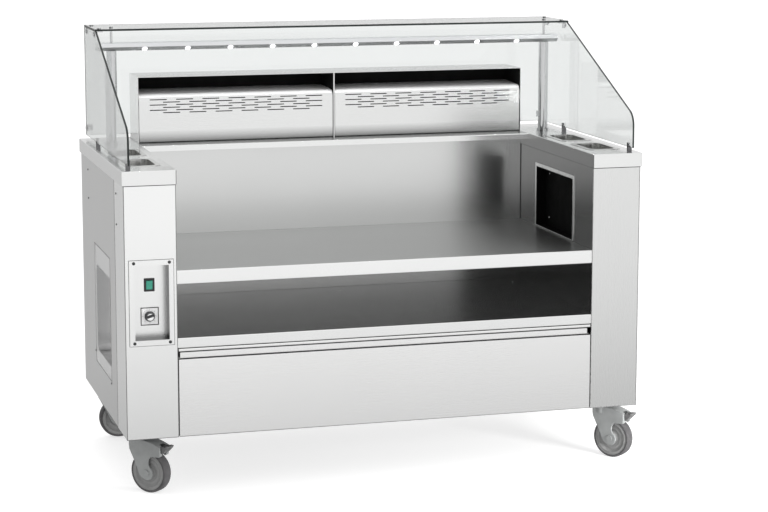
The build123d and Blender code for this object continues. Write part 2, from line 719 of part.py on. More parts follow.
# ---- Drawer: folded front with a grip channel, box, and telescopic slides ----
front_outline = [(column_front + return_width - 2, column_bottom + 1), (column_front, column_bottom + 1),
                 (column_front, drawer_face_top), (column_front + grip_depth, drawer_face_top),
                 (column_front + grip_depth, drawer_top - grip_top_lip),
                 (column_front, drawer_top - grip_top_lip), (column_front, drawer_top),
                 (column_front + drawer_return, drawer_top)]
with BuildPart() as drawer_front:
    add(folded_sheet(front_outline, gauge, Plane.YZ.offset(-drawer_half), 2 * drawer_half, 2.0))
    for side in (-1, 1):
        block((side * (drawer_half - grip_end_gap), side * (drawer_half + 1)),
              (column_front - 1, column_front + grip_depth + 2 * gauge),
              (drawer_face_top + 2 * gauge, drawer_top - grip_top_lip - gauge), Mode.SUBTRACT)
save(drawer_front.part, "drawer_front")

slide_stack = 3 * slide_thickness + 3 * running_gap
box_half = column_in - slide_stack
box_front = column_front + drawer_return
box_back = box_front + drawer_box_depth
slide_z = (drawer_box_bottom + 30, drawer_box_bottom + 30 + slide_height)
with BuildPart() as drawer_box:
    block((-box_half, box_half), (box_front, box_back), (drawer_box_bottom, drawer_box_bottom + drawer_box_height))
    offset(amount=-drawer_gauge, openings=drawer_box.faces().sort_by(Axis.Z)[-1])
    block((-drawer_half + 4, drawer_half - 4), (box_front, box_front + drawer_gauge),
          (drawer_box_bottom - 30, drawer_box_bottom + drawer_box_height + 20))
    for side in (-1, 1):
        block((side * box_half, side * (box_half + slide_thickness)), (box_front + 10, box_back), slide_z)
save(drawer_box.part, "drawer_box")

slide_out = box_half + slide_thickness + running_gap
with BuildPart() as drawer_slides:
    for side in (-1, 1):
        block((side * slide_out, side * (slide_out + slide_thickness)), (box_front + 10, box_back), slide_z)
save(drawer_slides.part, "drawer_slides")

rail_out = slide_out + slide_thickness + running_gap
with BuildPart() as drawer_rails:
    for side in (-1, 1):
        block((side * rail_out, side * column_in), (box_front + 10, box_back), slide_z)
save(drawer_rails.part, "drawer_rails")

# ---- Fan behind the back panel ----
fan_front = back_plane + gauge
fan_back = fan_front + fan_depth
fan_axis = Plane(origin=(fan_x, fan_front, fan_z), x_dir=(1, 0, 0), z_dir=(0, 1, 0))
with BuildPart() as fan_housing:
    with BuildSketch(fan_axis):
        Circle(fan_radius)
        with Locations((-fan_radius, fan_radius / 2)):
            Rectangle(fan_radius, fan_radius)
    extrude(amount=fan_depth)
    with BuildSketch(fan_axis.offset(gauge)):
        Circle(fan_radius - gauge)
        with Locations((-fan_radius, fan_radius / 2)):
            Rectangle(fan_radius + 4 * gauge, fan_radius - 2 * gauge)
    extrude(amount=fan_depth - 2 * gauge, mode=Mode.SUBTRACT)
    with BuildSketch(fan_axis.offset(fan_depth - 2 * gauge)):
        Circle(fan_inlet_radius)
    extrude(amount=3 * gauge, mode=Mode.SUBTRACT)
save(fan_housing.part, "fan_housing")

with BuildPart() as fan_motor:
    with BuildSketch(fan_axis.offset(gauge)):
        Circle(motor_radius)
    extrude(amount=motor_length)
    with BuildSketch(fan_axis.offset(gauge + motor_length)):
        Circle(motor_shaft_radius)
    extrude(amount=motor_length)
save(fan_motor.part, "fan_motor")

impeller_start = gauge + motor_length + 5
blade_count = 12
with BuildPart() as fan_impeller:
    with BuildSketch(fan_axis.offset(impeller_start)):
        Circle(impeller_radius)
    extrude(amount=2)
    with BuildSketch(fan_axis.offset(impeller_start)):
        Circle(motor_shaft_radius + 8)
    extrude(amount=motor_length - 8)
    with BuildSketch(fan_axis.offset(impeller_start + 2)):
        with PolarLocations(impeller_radius - 15, blade_count):
            Rectangle(26, 2, rotation=35)
    extrude(amount=46)
    with BuildSketch(fan_axis.offset(impeller_start - 1)):
        Circle(motor_shaft_radius + shaft_gap)
    extrude(amount=motor_length, mode=Mode.SUBTRACT)
save(fan_impeller.part, "fan_impeller")

# ---- Lamp driver in the left column and the gland for the mains lead ----
driver_depth = 35.0
driver_y = (150.0, 310.0)
driver_z = (560.0, 610.0)
with BuildPart() as lamp_driver:
    block((-column_in - gauge - driver_depth, -column_in - gauge), driver_y, driver_z)
    chamfer(lamp_driver.edges().filter_by(Axis.Y), 3)
save(lamp_driver.part, "lamp_driver")

gland_z = 260.0
gland_nut = 16.0
gland_nut_height = 6.0
gland_collar = 12.0
gland_bore = 5.0
gland_length = 22.0
gland_seat = Plane(origin=(-column_center, column_back, gland_z), x_dir=(1, 0, 0), z_dir=(0, 1, 0))
with BuildPart() as cable_gland:
    with BuildSketch(gland_seat):
        RegularPolygon(radius=gland_nut, side_count=6)
    extrude(amount=gland_nut_height)
    with BuildSketch(gland_seat.offset(gland_nut_height)):
        Circle(gland_collar)
    extrude(amount=gland_length - gland_nut_height, taper=14)
    with BuildSketch(gland_seat):
        Circle(gland_bore)
    extrude(amount=gland_length + 1, mode=Mode.SUBTRACT)
    block((-column_center - gland_nut - 1, -column_center + gland_nut + 1), (cap_back, cap_back + gland_length),
          (gland_z - gland_nut - 1, gland_z + gland_nut + 1), Mode.SUBTRACT)
save(cable_gland.part, "cable_gland")

# ---- Caster: fork, axle, wheel core, tyre and brake pedal, modelled about the swivel axis ----
pin_spot = (75.0, head_top - 45.0)
pin_radius = 2.5
arm_width = 20.0
slot_gap = 1.0
axle_length = fork_width + 6
# Heights on the fork: around the axle, under the wheel arch, and along the crown above the wheel.
axle_z = wheel_radius
arch_z = 2 * wheel_radius - 13
crown_z = head_top - 16
with BuildPart() as fork_body:
    with BuildSketch(Plane.XZ.offset(-fork_width / 2)) as fork_outline:
        with BuildLine():
            outer_leg = ThreePointArc((-24, arch_z + 15), (-6, axle_z + 30), (10, axle_z - 4))
            heel = ThreePointArc(outer_leg @ 1, (16, axle_z - 13), (26, axle_z - 18.5))
            lobe = ThreePointArc(heel @ 1, (40, axle_z - 22.5), (56, axle_z - 12.5))
            toe = ThreePointArc(lobe @ 1, (59, axle_z), (54, axle_z + 12.5))
            arch = ThreePointArc(toe @ 1, (44.5, axle_z + 29.5), (54, arch_z))
            Polyline(arch @ 1, (83, arch_z + 2), (87, arch_z + 6), (86, crown_z - 14))
            crown = ThreePointArc((86, crown_z - 14), (48, crown_z - 2), (4, crown_z))
            Polyline(crown @ 1, (-head_radius, crown_z), (-head_radius, crown_z - 20), outer_leg @ 0)
        make_face()
        fillet(fork_outline.vertices(), fork_corner)
    extrude(amount=fork_width)
    fillet(fork_body.edges().filter_by(Axis.Y, reverse=True), fork_edge)
    with BuildSketch(Plane.XY.offset(crown_z - 20)):
        Circle(head_radius)
    extrude(amount=head_top - crown_z + 20)
    with Locations(Location((trail, 0, wheel_radius), (90, 0, 0))):
        Cylinder(wheel_radius + 4, fork_slot, mode=Mode.SUBTRACT)
    block((-60, 140), (-fork_slot / 2, fork_slot / 2), (0, wheel_radius), Mode.SUBTRACT)
    with Locations((0, 0, crown_z - 40)):
        Cylinder(king_pin_radius + shaft_gap, 70, align=(Align.CENTER, Align.CENTER, Align.MIN),
                 mode=Mode.SUBTRACT)
        Cylinder(king_pin_radius + 5, 20, align=(Align.CENTER, Align.CENTER, Align.MIN), mode=Mode.SUBTRACT)
    with Locations(Location((trail, 0, wheel_radius), (90, 0, 0))):
        Cylinder(axle_radius, 2 * fork_width, mode=Mode.SUBTRACT)

with BuildPart() as axle:
    with Locations(Location((trail, 0, wheel_radius), (90, 0, 0))):
        Cylinder(axle_radius, axle_length)
        with Locations((0, 0, axle_length / 2 - 1.5), (0, 0, 1.5 - axle_length / 2)):
            Cylinder(axle_radius + 3, 3)

with BuildPart() as brake_slot:
    block((pin_spot[0] - 12, 110), (-arm_width / 2 - slot_gap, arm_width / 2 + slot_gap),
          (arch_z - 2, head_top - 26))

with BuildPart() as brake_fork_body:
    add(fork_body.part)
    add(brake_slot.part, mode=Mode.SUBTRACT)

with BuildPart() as pedal_pin:
    with Locations(Location((pin_spot[0], 0, pin_spot[1]), (90, 0, 0))):
        Cylinder(pin_radius, arm_width + 2 * slot_gap)

pedal_width = 34.0
with BuildPart() as pedal_shape:
    with BuildSketch(Plane.XZ.offset(-pedal_width / 2)):
        with BuildLine():
            tread = ThreePointArc((88.5, head_top - 29), (97, head_top - 30), (106, head_top - 28))
            tip = ThreePointArc(tread @ 1, (109, head_top - 30.5), (106.5, head_top - 34))
            Polyline(tip @ 1, (97, head_top - 45), (89.5, head_top - 52), tread @ 0)
        make_face()
    extrude(amount=pedal_width)
    with BuildSketch(Plane.XZ.offset(-arm_width / 2)):
        with Locations(pin_spot):
            Circle(6)
        with BuildLine():
            Polyline((pin_spot[0], pin_spot[1] + 6), (92, head_top - 33), (92, head_top - 48),
                     (pin_spot[0], pin_spot[1] - 6), close=True)
        make_face()
    extrude(amount=arm_width)
    with Locations(Location((pin_spot[0], 0, pin_spot[1]), (90, 0, 0))):
        Cylinder(pin_radius + shaft_gap, 2 * pedal_width, mode=Mode.SUBTRACT)

# Wheel: dished core with a hub and a rim band, and a tyre with rounded shoulders.
core_radius = wheel_radius - tyre_thickness
core_half = wheel_width / 2 - 1
wheel_middle = (trail, 0, wheel_radius)
with BuildPart() as core_shape:
    with BuildSketch(Plane.XY):
        with BuildLine():
            Polyline((axle_radius + shaft_gap, -core_half - 1), (hub_radius, -core_half - 1),
                     (hub_radius + 3, -core_half + 3), (core_radius - 15, -core_half + 6),
                     (core_radius - 6, -core_half + 1), (core_radius, -core_half), (core_radius, core_half),
                     (core_radius - 6, core_half - 1), (core_radius - 15, core_half - 6),
                     (hub_radius + 3, core_half - 3), (hub_radius, core_half + 1),
                     (axle_radius + shaft_gap, core_half + 1), close=True)
        make_face()
    revolve(axis=Axis.Y)

with BuildPart() as tyre_shape:
    with BuildSketch(Plane.XY) as tyre_section:
        with Locations((core_radius + tyre_thickness / 2, 0)):
            Rectangle(tyre_thickness, wheel_width)
        fillet(tyre_section.vertices().group_by(Axis.X)[-1], 5)
    revolve(axis=Axis.Y)

for place, (spot_x, spot_y) in caster_spots.items():
    has_brake = place.startswith("front")
    stand = Location((spot_x, spot_y, 0), (0, 0, caster_angles[place]))
    wheel_stand = stand * Location(wheel_middle)
    with BuildPart() as fork:
        with Locations(stand):
            add(brake_fork_body.part if has_brake else fork_body.part)
            add(axle.part)
            if has_brake:
                add(pedal_pin.part)
    save(fork.part, f"{place}_fork")
    with BuildPart() as wheel_core:
        with Locations(wheel_stand):
            add(core_shape.part)
    save(wheel_core.part, f"{place}_wheel_core")
    with BuildPart() as tyre:
        with Locations(wheel_stand):
            add(tyre_shape.part)
    save(tyre.part, f"{place}_tyre")
    if has_brake:
        with BuildPart() as brake_pedal:
            with Locations(stand):
                add(pedal_shape.part)
        save(brake_pedal.part, f"{place}_brake_pedal")

# Mounting plates with the king pin, its head under the fork, and four bolts through each plate.
plate_length, plate_width, plate_thickness = mount_plate
bolt_pitch = (80.0, 60.0)
with BuildPart() as caster_mounts:
    for spot_x, spot_y in caster_spots.values():
        with Locations((spot_x, spot_y, column_bottom)):
            Box(plate_length, plate_width, plate_thickness, align=(Align.CENTER, Align.CENTER, Align.MAX))
        with Locations((spot_x, spot_y, column_bottom - plate_thickness)):
            Cylinder(head_radius - 2, column_bottom - plate_thickness - head_top - running_gap,
                     align=(Align.CENTER, Align.CENTER, Align.MAX))
            Cylinder(king_pin_radius, 46, align=(Align.CENTER, Align.CENTER, Align.MAX))
        with Locations((spot_x, spot_y, column_bottom - plate_thickness - 42)):
            Cylinder(king_pin_radius + 3.5, 4, align=(Align.CENTER, Align.CENTER, Align.MAX))
        with Locations((spot_x, spot_y, column_bottom - plate_thickness)):
            with GridLocations(*bolt_pitch, 2, 2):
                Cylinder(6.5, 4.5, align=(Align.CENTER, Align.CENTER, Align.MAX))
save(caster_mounts.part, "caster_mounts")
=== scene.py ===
# %% [markdown]
# # A food service trolley in brushed steel and glass
# The frame holds every piece that moves or fits. This lesson gives those pieces their finishes and
# models the ones that need more detail than a machine drawing: wheels, glass, lamps, dial and pans.
# Everything is in metres, in the frame's own axes: X to the right, Y to the guests, Z up.

# %% Load the frame and keep its box
import json
import math

import bmesh
import bpy
from mathutils import Matrix, Vector

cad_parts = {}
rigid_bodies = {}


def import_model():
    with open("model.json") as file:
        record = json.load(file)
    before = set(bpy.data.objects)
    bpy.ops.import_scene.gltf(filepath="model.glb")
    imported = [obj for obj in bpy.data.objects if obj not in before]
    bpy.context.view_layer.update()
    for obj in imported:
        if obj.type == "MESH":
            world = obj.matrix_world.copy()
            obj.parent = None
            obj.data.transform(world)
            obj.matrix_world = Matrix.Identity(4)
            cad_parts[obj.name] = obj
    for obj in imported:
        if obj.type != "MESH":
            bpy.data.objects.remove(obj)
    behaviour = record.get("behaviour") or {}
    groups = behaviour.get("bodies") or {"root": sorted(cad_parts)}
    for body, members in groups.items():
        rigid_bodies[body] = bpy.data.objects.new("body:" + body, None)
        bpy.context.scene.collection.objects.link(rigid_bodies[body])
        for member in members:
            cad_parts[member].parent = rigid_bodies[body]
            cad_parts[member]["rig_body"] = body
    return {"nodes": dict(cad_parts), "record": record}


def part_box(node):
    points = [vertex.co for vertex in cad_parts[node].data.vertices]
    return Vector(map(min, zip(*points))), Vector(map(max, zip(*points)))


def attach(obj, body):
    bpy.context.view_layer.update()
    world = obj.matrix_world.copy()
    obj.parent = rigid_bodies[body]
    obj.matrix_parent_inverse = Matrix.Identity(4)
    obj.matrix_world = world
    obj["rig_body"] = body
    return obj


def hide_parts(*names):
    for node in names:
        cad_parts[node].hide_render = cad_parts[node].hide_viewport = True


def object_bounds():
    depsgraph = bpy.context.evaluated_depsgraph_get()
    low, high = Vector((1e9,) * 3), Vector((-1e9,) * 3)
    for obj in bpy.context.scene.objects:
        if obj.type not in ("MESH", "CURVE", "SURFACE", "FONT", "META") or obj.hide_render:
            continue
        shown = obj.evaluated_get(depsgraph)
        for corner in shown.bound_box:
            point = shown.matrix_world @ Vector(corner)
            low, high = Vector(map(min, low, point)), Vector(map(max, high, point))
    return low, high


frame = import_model()
nodes = frame["nodes"]
cad_low, cad_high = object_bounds()
slot_of = {part["node"]: part["material_slot"] for part in frame["record"]["subparts"]}
print("nodes", len(nodes), "box", [round(v, 3) for v in (*cad_low, *cad_high)])

# %% [markdown]
# ## Helpers for meshes
# A new piece starts as a bmesh and ends as an object at the origin that rides on one body. A frame node
# is loose triangles, so a copy of it is merged before its curved faces can shade smoothly.


# %% Helpers that turn a bmesh into a riding piece
def body_of_node(node):
    return nodes[node]["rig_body"]


def shade_by_angle(bm, degrees):
    """Smooth shading everywhere except across edges sharper than the angle."""
    limit = math.radians(degrees)
    for face in bm.faces:
        face.smooth = True
    for edge in bm.edges:
        edge.smooth = len(edge.link_faces) == 2 and edge.calc_face_angle(0.0) < limit


def make_piece(bm, name, body, slot, *materials):
    mesh = bpy.data.meshes.new(name)
    bm.to_mesh(mesh)
    bm.free()
    for material in materials:
        mesh.materials.append(material)
    piece = bpy.data.objects.new(name, mesh)
    bpy.context.scene.collection.objects.link(piece)
    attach(piece, body)
    return piece


def merged_copy(node):
    bm = bmesh.new()
    bm.from_mesh(nodes[node].data)
    bmesh.ops.remove_doubles(bm, verts=bm.verts, dist=1e-6)
    return bm


def weight_normals(piece):
    """Lets the large flat faces keep their own direction where a bend runs into them."""
    modifier = piece.modifiers.new("flat_faces_stay_flat", "WEIGHTED_NORMAL")
    modifier.mode = "FACE_AREA"
    modifier.weight = 100
    modifier.keep_sharp = True


def smooth_copy(node, material, inside=None, is_inside=None, degrees=30, cut_height=None):
    """A merged copy of a frame node, shaded smoothly, with a second finish where is_inside says so.

    A face belongs to one finish only, so cut_height first splits the faces that cross that height.
    """
    bm = merged_copy(node)
    if cut_height is not None:
        everything = bm.verts[:] + bm.edges[:] + bm.faces[:]
        bmesh.ops.bisect_plane(bm, geom=everything, plane_co=(0.0, 0.0, cut_height), plane_no=(0.0, 0.0, 1.0))
    if is_inside:
        for face in bm.faces:
            face.material_index = int(is_inside(face.calc_center_median()))
    shade_by_angle(bm, degrees)
    finishes = (material, inside) if inside else (material,)
    piece = make_piece(bm, f"{node}_finished", body_of_node(node), slot_of[node], *finishes)
    weight_normals(piece)
    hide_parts(node)


def add_box(bm, low, high, place=Matrix()):
    """A box between two corners, turned and moved by a matrix."""
    low, high = Vector(low), Vector(high)
    size = Matrix.Diagonal((*(high - low), 1.0))
    made = bmesh.ops.create_cube(bm, size=1.0, matrix=place @ Matrix.Translation((low + high) / 2) @ size)
    return made["verts"]


def add_turned(bm, profile, place=Matrix(), axis=(0.0, 1.0, 0.0), steps=96):
    """Turns a profile of (radius, height) points a full circle about the axis, as on a lathe."""
    up = Vector(axis)
    out = Vector((1.0, 0.0, 0.0))
    verts = [bm.verts.new(out * radius + up * height) for radius, height in profile]
    edges = [bm.edges.new(pair) for pair in zip(verts, verts[1:])]
    old = set(bm.verts) - set(verts)
    bmesh.ops.spin(bm, geom=verts + edges, cent=(0, 0, 0), axis=axis, angle=math.tau, steps=steps,
                   use_merge=True, use_duplicate=False)
    made = [vert for vert in bm.verts if vert not in old]
    bmesh.ops.remove_doubles(bm, verts=made, dist=1e-7)
    made = [vert for vert in bm.verts if vert not in old]
    bmesh.ops.transform(bm, matrix=place, verts=made)
    return made


def islands(bm):
    """The separate shells of a mesh, each as a list of vertices."""
    left = set(bm.verts)
    found = []
    while left:
        shell, edge_of_search = set(), [left.pop()]
        while edge_of_search:
            vert = edge_of_search.pop()
            shell.add(vert)
            for edge in vert.link_edges:
                other = edge.other_vert(vert)
                if other in left:
                    left.discard(other)
                    edge_of_search.append(other)
        found.append(list(shell))
    return found


# %% [markdown]
# ## Brushed steel
# Sheet steel for kitchens is ground along one direction. The grain is a noise stretched a few hundred
# times along the brushing, which drives a little colour, roughness and bump. A second, cloudy noise gives
# the uneven wiping marks that every used steel sheet has, and a third makes broad patches that are a
# little rougher than the rest.


# %% Node helpers and the steel finish
def start_material(name):
    material = bpy.data.materials.new(name)
    material.use_nodes = True
    tree = material.node_tree
    shader = tree.nodes["Principled BSDF"]
    return material, tree, shader


def object_coordinates(tree, scale):
    source = tree.nodes.new("ShaderNodeTexCoord")
    mapping = tree.nodes.new("ShaderNodeMapping")
    mapping.inputs["Scale"].default_value = scale
    tree.links.new(source.outputs["Object"], mapping.inputs["Vector"])
    return mapping.outputs["Vector"]


def noise(tree, vector, scale, detail=3.0, roughness=0.55):
    node = tree.nodes.new("ShaderNodeTexNoise")
    node.inputs["Scale"].default_value = scale
    node.inputs["Detail"].default_value = detail
    node.inputs["Roughness"].default_value = roughness
    tree.links.new(vector, node.inputs["Vector"])
    return node.outputs["Fac"]


def spread(tree, value, low, high, from_low=0.3, from_high=0.7):
    node = tree.nodes.new("ShaderNodeMapRange")
    node.inputs["From Min"].default_value = from_low
    node.inputs["From Max"].default_value = from_high
    node.inputs["To Min"].default_value = low
    node.inputs["To Max"].default_value = high
    tree.links.new(value, node.inputs["Value"])
    return node.outputs["Result"]


def add_values(tree, first, second, operation="ADD"):
    node = tree.nodes.new("ShaderNodeMath")
    node.operation = operation
    for socket, value in zip(node.inputs, (first, second)):
        if isinstance(value, (int, float)):
            socket.default_value = value
        else:
            tree.links.new(value, socket)
    return node.outputs["Value"]


def blend_colors(tree, factor, first, second):
    node = tree.nodes.new("ShaderNodeMix")
    node.data_type = "RGBA"
    tree.links.new(factor, node.inputs["Factor"])
    node.inputs["A"].default_value = (*first, 1.0)
    node.inputs["B"].default_value = (*second, 1.0)
    return node.outputs["Result"]


def add_bump(tree, shader, height, strength, distance=0.0005):
    bump = tree.nodes.new("ShaderNodeBump")
    bump.inputs["Strength"].default_value = strength
    bump.inputs["Distance"].default_value = distance
    tree.links.new(height, bump.inputs["Height"])
    tree.links.new(bump.outputs["Normal"], shader.inputs["Normal"])


def painted_shade_below(tree, color, low_z, high_z, left):
    """Darkens a color towards a lower height: painted shade, as where a sheet looks into a corner."""
    split = tree.nodes.new("ShaderNodeSeparateXYZ")
    tree.links.new(object_coordinates(tree, (1.0, 1.0, 1.0)), split.inputs["Vector"])
    factor = spread(tree, split.outputs["Z"], left, 1.0, low_z, high_z)
    scale = tree.nodes.new("ShaderNodeVectorMath")
    scale.operation = "SCALE"
    tree.links.new(color, scale.inputs[0])
    tree.links.new(factor, scale.inputs["Scale"])
    return scale.outputs["Vector"]


def brushed_steel(name, color, roughness, grain=(5.0, 2400.0, 2400.0), grain_depth=0.012, contrast=0.012,
                  blur_along=None, fade=None):
    """Ground sheet steel: grain is the noise scale on each axis, small along the brushing.

    A fade is painted shade towards the bottom: (low z, high z, share of the brightness that is left at the
    low one).
    """
    material, tree, shader = start_material(name)
    shader.inputs["Metallic"].default_value = 1.0
    if blur_along:
        shader.inputs["Anisotropic"].default_value = 0.55
        tangent = tree.nodes.new("ShaderNodeCombineXYZ")
        for socket, value in zip(tangent.inputs, blur_along):
            socket.default_value = value
        tree.links.new(tangent.outputs["Vector"], shader.inputs["Tangent"])
    streaks = noise(tree, object_coordinates(tree, grain), 1.0, detail=1.5)
    clouds = noise(tree, object_coordinates(tree, (1.0, 1.0, 1.0)), 3.1, detail=2.0)
    wipes = noise(tree, object_coordinates(tree, tuple(0.001 * g + 1.5 for g in grain)), 1.0, detail=2.0)
    tone = add_values(tree, add_values(tree, streaks, 0.45, "MULTIPLY"),
                      add_values(tree, clouds, 0.55, "MULTIPLY"))
    dark = tuple(channel * (1 - contrast) for channel in color)
    light = tuple(min(1.0, channel * (1 + contrast)) for channel in color)
    finish = blend_colors(tree, spread(tree, tone, 0.0, 1.0), dark, light)
    if fade:
        finish = painted_shade_below(tree, finish, *fade)
    tree.links.new(finish, shader.inputs["Base Color"])
    wear = spread(tree, wipes, -0.006, 0.010)
    tree.links.new(add_values(tree, spread(tree, streaks, roughness - 0.012, roughness + 0.012), wear),
                   shader.inputs["Roughness"])
    add_bump(tree, shader, streaks, grain_depth, 0.0002)
    return material


upright = (2400.0, 2400.0, 5.0)
sideways = (5.0, 2400.0, 2400.0)
along_y, along_z = (0.0, 1.0, 0.0), (0.0, 0.0, 1.0)
front_steel = brushed_steel("column_front_steel", (0.96, 0.965, 0.96), 0.26, upright)
drawer_steel = brushed_steel("drawer_front_steel", (0.99, 0.99, 0.985), 0.26, sideways)
# The right column's front is a darker copy of the left front's steel: painted shade.
right_front_shaded_steel = brushed_steel("right_front_shaded_steel", (0.80, 0.805, 0.80), 0.26, upright)
skin_steel = brushed_steel("outer_skin_steel", (0.72, 0.72, 0.715), 0.30, upright)
cap_steel = brushed_steel("cap_steel", (0.86, 0.865, 0.86), 0.20, (2400.0, 5.0, 2400.0))
# The worktop's top is a copy of its front fold's steel at about half the brightness: painted shade.
worktop_steel = brushed_steel("worktop_steel", (0.50, 0.505, 0.50), 0.30, sideways, blur_along=along_y)
apron_steel = brushed_steel("apron_steel", (0.95, 0.955, 0.95), 0.22, sideways)
# The shelf's top is likewise darker than its front fold: painted shade.
shelf_shaded_steel = brushed_steel("shelf_shaded_steel", (0.56, 0.565, 0.565), 0.20, sideways, blur_along=along_y)
# Dark steel on the bays' inner panels and the caps' inner skirts: painted shade.
bay_shaded_steel = brushed_steel("bay_side_painted_shade_steel", (0.29, 0.29, 0.29), 0.20, upright)
back_steel = brushed_steel("back_panel_steel", (0.74, 0.745, 0.74), 0.22, sideways, blur_along=along_z)
# The back panel below the worktop gets a darker copy of its steel: painted shade under the worktop.
lower_back_shaded_steel = brushed_steel("lower_back_shaded_steel", (0.50, 0.50, 0.495), 0.20, sideways, blur_along=along_z)
hood_steel = brushed_steel("hood_steel", (0.78, 0.78, 0.78), 0.26, sideways)
# The cassette fronts darken towards the bottom: painted shade.
cassette_steel = brushed_steel("cassette_steel", (0.84, 0.845, 0.84), 0.26, sideways,
                               fade=(0.976, 1.012, 0.42))
recess_steel = brushed_steel("side_recess_steel", (0.84, 0.84, 0.84), 0.24, upright)
# Near-black steel on the control recess's walls: painted shade in the recess.
recess_wall_shaded_steel = brushed_steel("recess_wall_shaded_steel", (0.05, 0.05, 0.05), 0.30, upright)
corner_steel = brushed_steel("corner_shadow_steel", (0.07, 0.07, 0.07), 0.35, sideways)
# The ledge's top gets a much darker copy of the ledge's steel: painted shade.
ledge_top_shaded_steel = brushed_steel("ledge_top_shaded_steel", (0.46, 0.465, 0.46), 0.26, sideways)
zinc_steel = brushed_steel("zinc_plated_steel", (0.42, 0.44, 0.46), 0.38, (40.0, 40.0, 40.0), 0.2, 0.14)
# Dark steel on the drawer box and base tray: painted shade, so the gaps round the drawer read dark.
box_shaded_steel = brushed_steel("drawer_box_steel", (0.30, 0.30, 0.30), 0.40, sideways)
pan_steel = brushed_steel("pan_steel", (0.62, 0.62, 0.61), 0.16, (60.0, 60.0, 60.0), 0.05, 0.04)
print("steel finishes", len([m for m in bpy.data.materials if "steel" in m.name]))

# %% [markdown]
# ## Polished metal, plastics and rubber
# The posts, discs and screws are polished, so their finish is nearly a mirror with faint wiping marks.
# The fork and the wheel are moulded: a fine grain, a dull sheen, part of it painted into the colour, and a
# little dust in cloudy patches.


# %% Polished, painted and moulded finishes
def polished_metal(name, color, roughness=0.08):
    material, tree, shader = start_material(name)
    shader.inputs["Metallic"].default_value = 1.0
    marks = noise(tree, object_coordinates(tree, (40.0, 40.0, 6.0)), 1.0, detail=4.0)
    dark = tuple(0.93 * channel for channel in color)
    tone = blend_colors(tree, spread(tree, marks, 0.0, 1.0), dark, color)
    tree.links.new(tone, shader.inputs["Base Color"])
    tree.links.new(spread(tree, marks, roughness - 0.03, roughness + 0.06), shader.inputs["Roughness"])
    add_bump(tree, shader, marks, 0.02, 0.0003)
    return material


def moulded(name, color, roughness=0.5, grain_scale=900.0, grain_depth=0.12, dust=0.10, sheen=0.5):
    """Moulded plastic or paint: fine grain, cloudy dust with a little painted sheen on its paler side, and
    slightly duller patches.
    """
    material, tree, shader = start_material(name)
    grain = noise(tree, object_coordinates(tree, (1.0, 1.0, 1.0)), grain_scale, detail=2.0)
    clouds = noise(tree, object_coordinates(tree, (1.0, 1.0, 1.0)), 28.0, detail=5.0)
    # The pale end of the cloudy tone gets a little painted sheen added to its colour.
    light = tuple(min(1.0, channel * (1 + dust) + 0.024 * sheen) for channel in color)
    shader.inputs["Specular IOR Level"].default_value = sheen
    dark = tuple(channel * (1 - dust) for channel in color)
    tone = blend_colors(tree, spread(tree, clouds, 0.0, 1.0), dark, light)
    tree.links.new(tone, shader.inputs["Base Color"])
    tree.links.new(add_values(tree, spread(tree, grain, roughness - 0.05, roughness + 0.05),
                              spread(tree, clouds, -0.04, 0.06)), shader.inputs["Roughness"])
    add_bump(tree, shader, grain, grain_depth, 0.0002)
    return material


chrome = polished_metal("polished_steel", (0.62, 0.625, 0.63))
# The screws are one polished metal in two copies: this near-black one, off the bay plates, is painted shade.
screw_metal = polished_metal("screw_painted_shade_metal", (0.09, 0.09, 0.092), 0.25)
rail_metal = brushed_steel("lamp_rail_aluminium", (0.80, 0.81, 0.82), 0.30, sideways)
# A darker copy of the rail's finish on the lower part of its face: painted shade.
rail_face_shaded_metal = brushed_steel("lamp_rail_face_painted_shade", (0.42, 0.425, 0.43), 0.30, sideways)
black_plastic = moulded("black_plastic", (0.018, 0.018, 0.020), 0.42)
# The pale copy of the screws' metal, on the bay plates, is painted light.
screw_painted_light_metal = polished_metal("screw_painted_light_metal", (0.80, 0.80, 0.81), 0.2)
# The clamps are chrome given a dark base colour: painted shade for the dark they mirror.
clamp_shaded_chrome = polished_metal("clamp_shaded_chrome", (0.16, 0.16, 0.165), 0.14)
# Near-black on the bay plates and inside the bay recesses: painted shade.
bay_shade_black = moulded("bay_recess_painted_shade", (0.0015, 0.0015, 0.0015), 0.60, 350.0, sheen=0.06)
fork_grey = moulded("fork_grey", (0.215, 0.222, 0.220), 0.42, 700.0, 0.10, 0.07)
# Near-black inside the hood: painted shade.
hood_inside_shade = moulded("hood_inside_painted_shade", (0.004, 0.004, 0.004), 0.85, 300.0, sheen=0.3)
# Near-black for the strips under the caps: painted shade.
cap_shadow_black = moulded("cap_shadow_black", (0.012, 0.012, 0.012), 0.7, 500.0)
# A pale matte band on the cassettes' top nose: painted light for the brightness the steel nose mirrors.
nose_painted_light = moulded("cassette_top_band_painted_light", (0.95, 0.95, 0.945), 0.45, 900.0, 0.05, 0.05)
seam_grey = moulded("seam_shadow_grey", (0.10, 0.10, 0.10), 0.7, 500.0, sheen=0.1)
dial_grey = moulded("dial_print_grey", (0.42, 0.42, 0.42), 0.4, 300.0, 0.03, 0.03)
knob_grey = moulded("knob_skirt_grey", (0.085, 0.087, 0.09), 0.32, 400.0, 0.05, 0.05)
knob_cap_white = moulded("knob_cap_white", (0.78, 0.78, 0.78), 0.25, 300.0, 0.02, 0.02)
pedal_grey = moulded("pedal_grey", (0.105, 0.105, 0.105), 0.55, 700.0, 0.16, 0.12)
core_grey = moulded("wheel_core_grey", (0.185, 0.186, 0.184), 0.48, 600.0, 0.08, 0.07)
tyre_rubber = moulded("tyre_rubber", (0.062, 0.060, 0.062), 0.68, 420.0, 0.25, 0.22)
dial_white = moulded("dial_plate_white", (0.95, 0.95, 0.95), 0.30, 300.0, 0.03, 0.03)
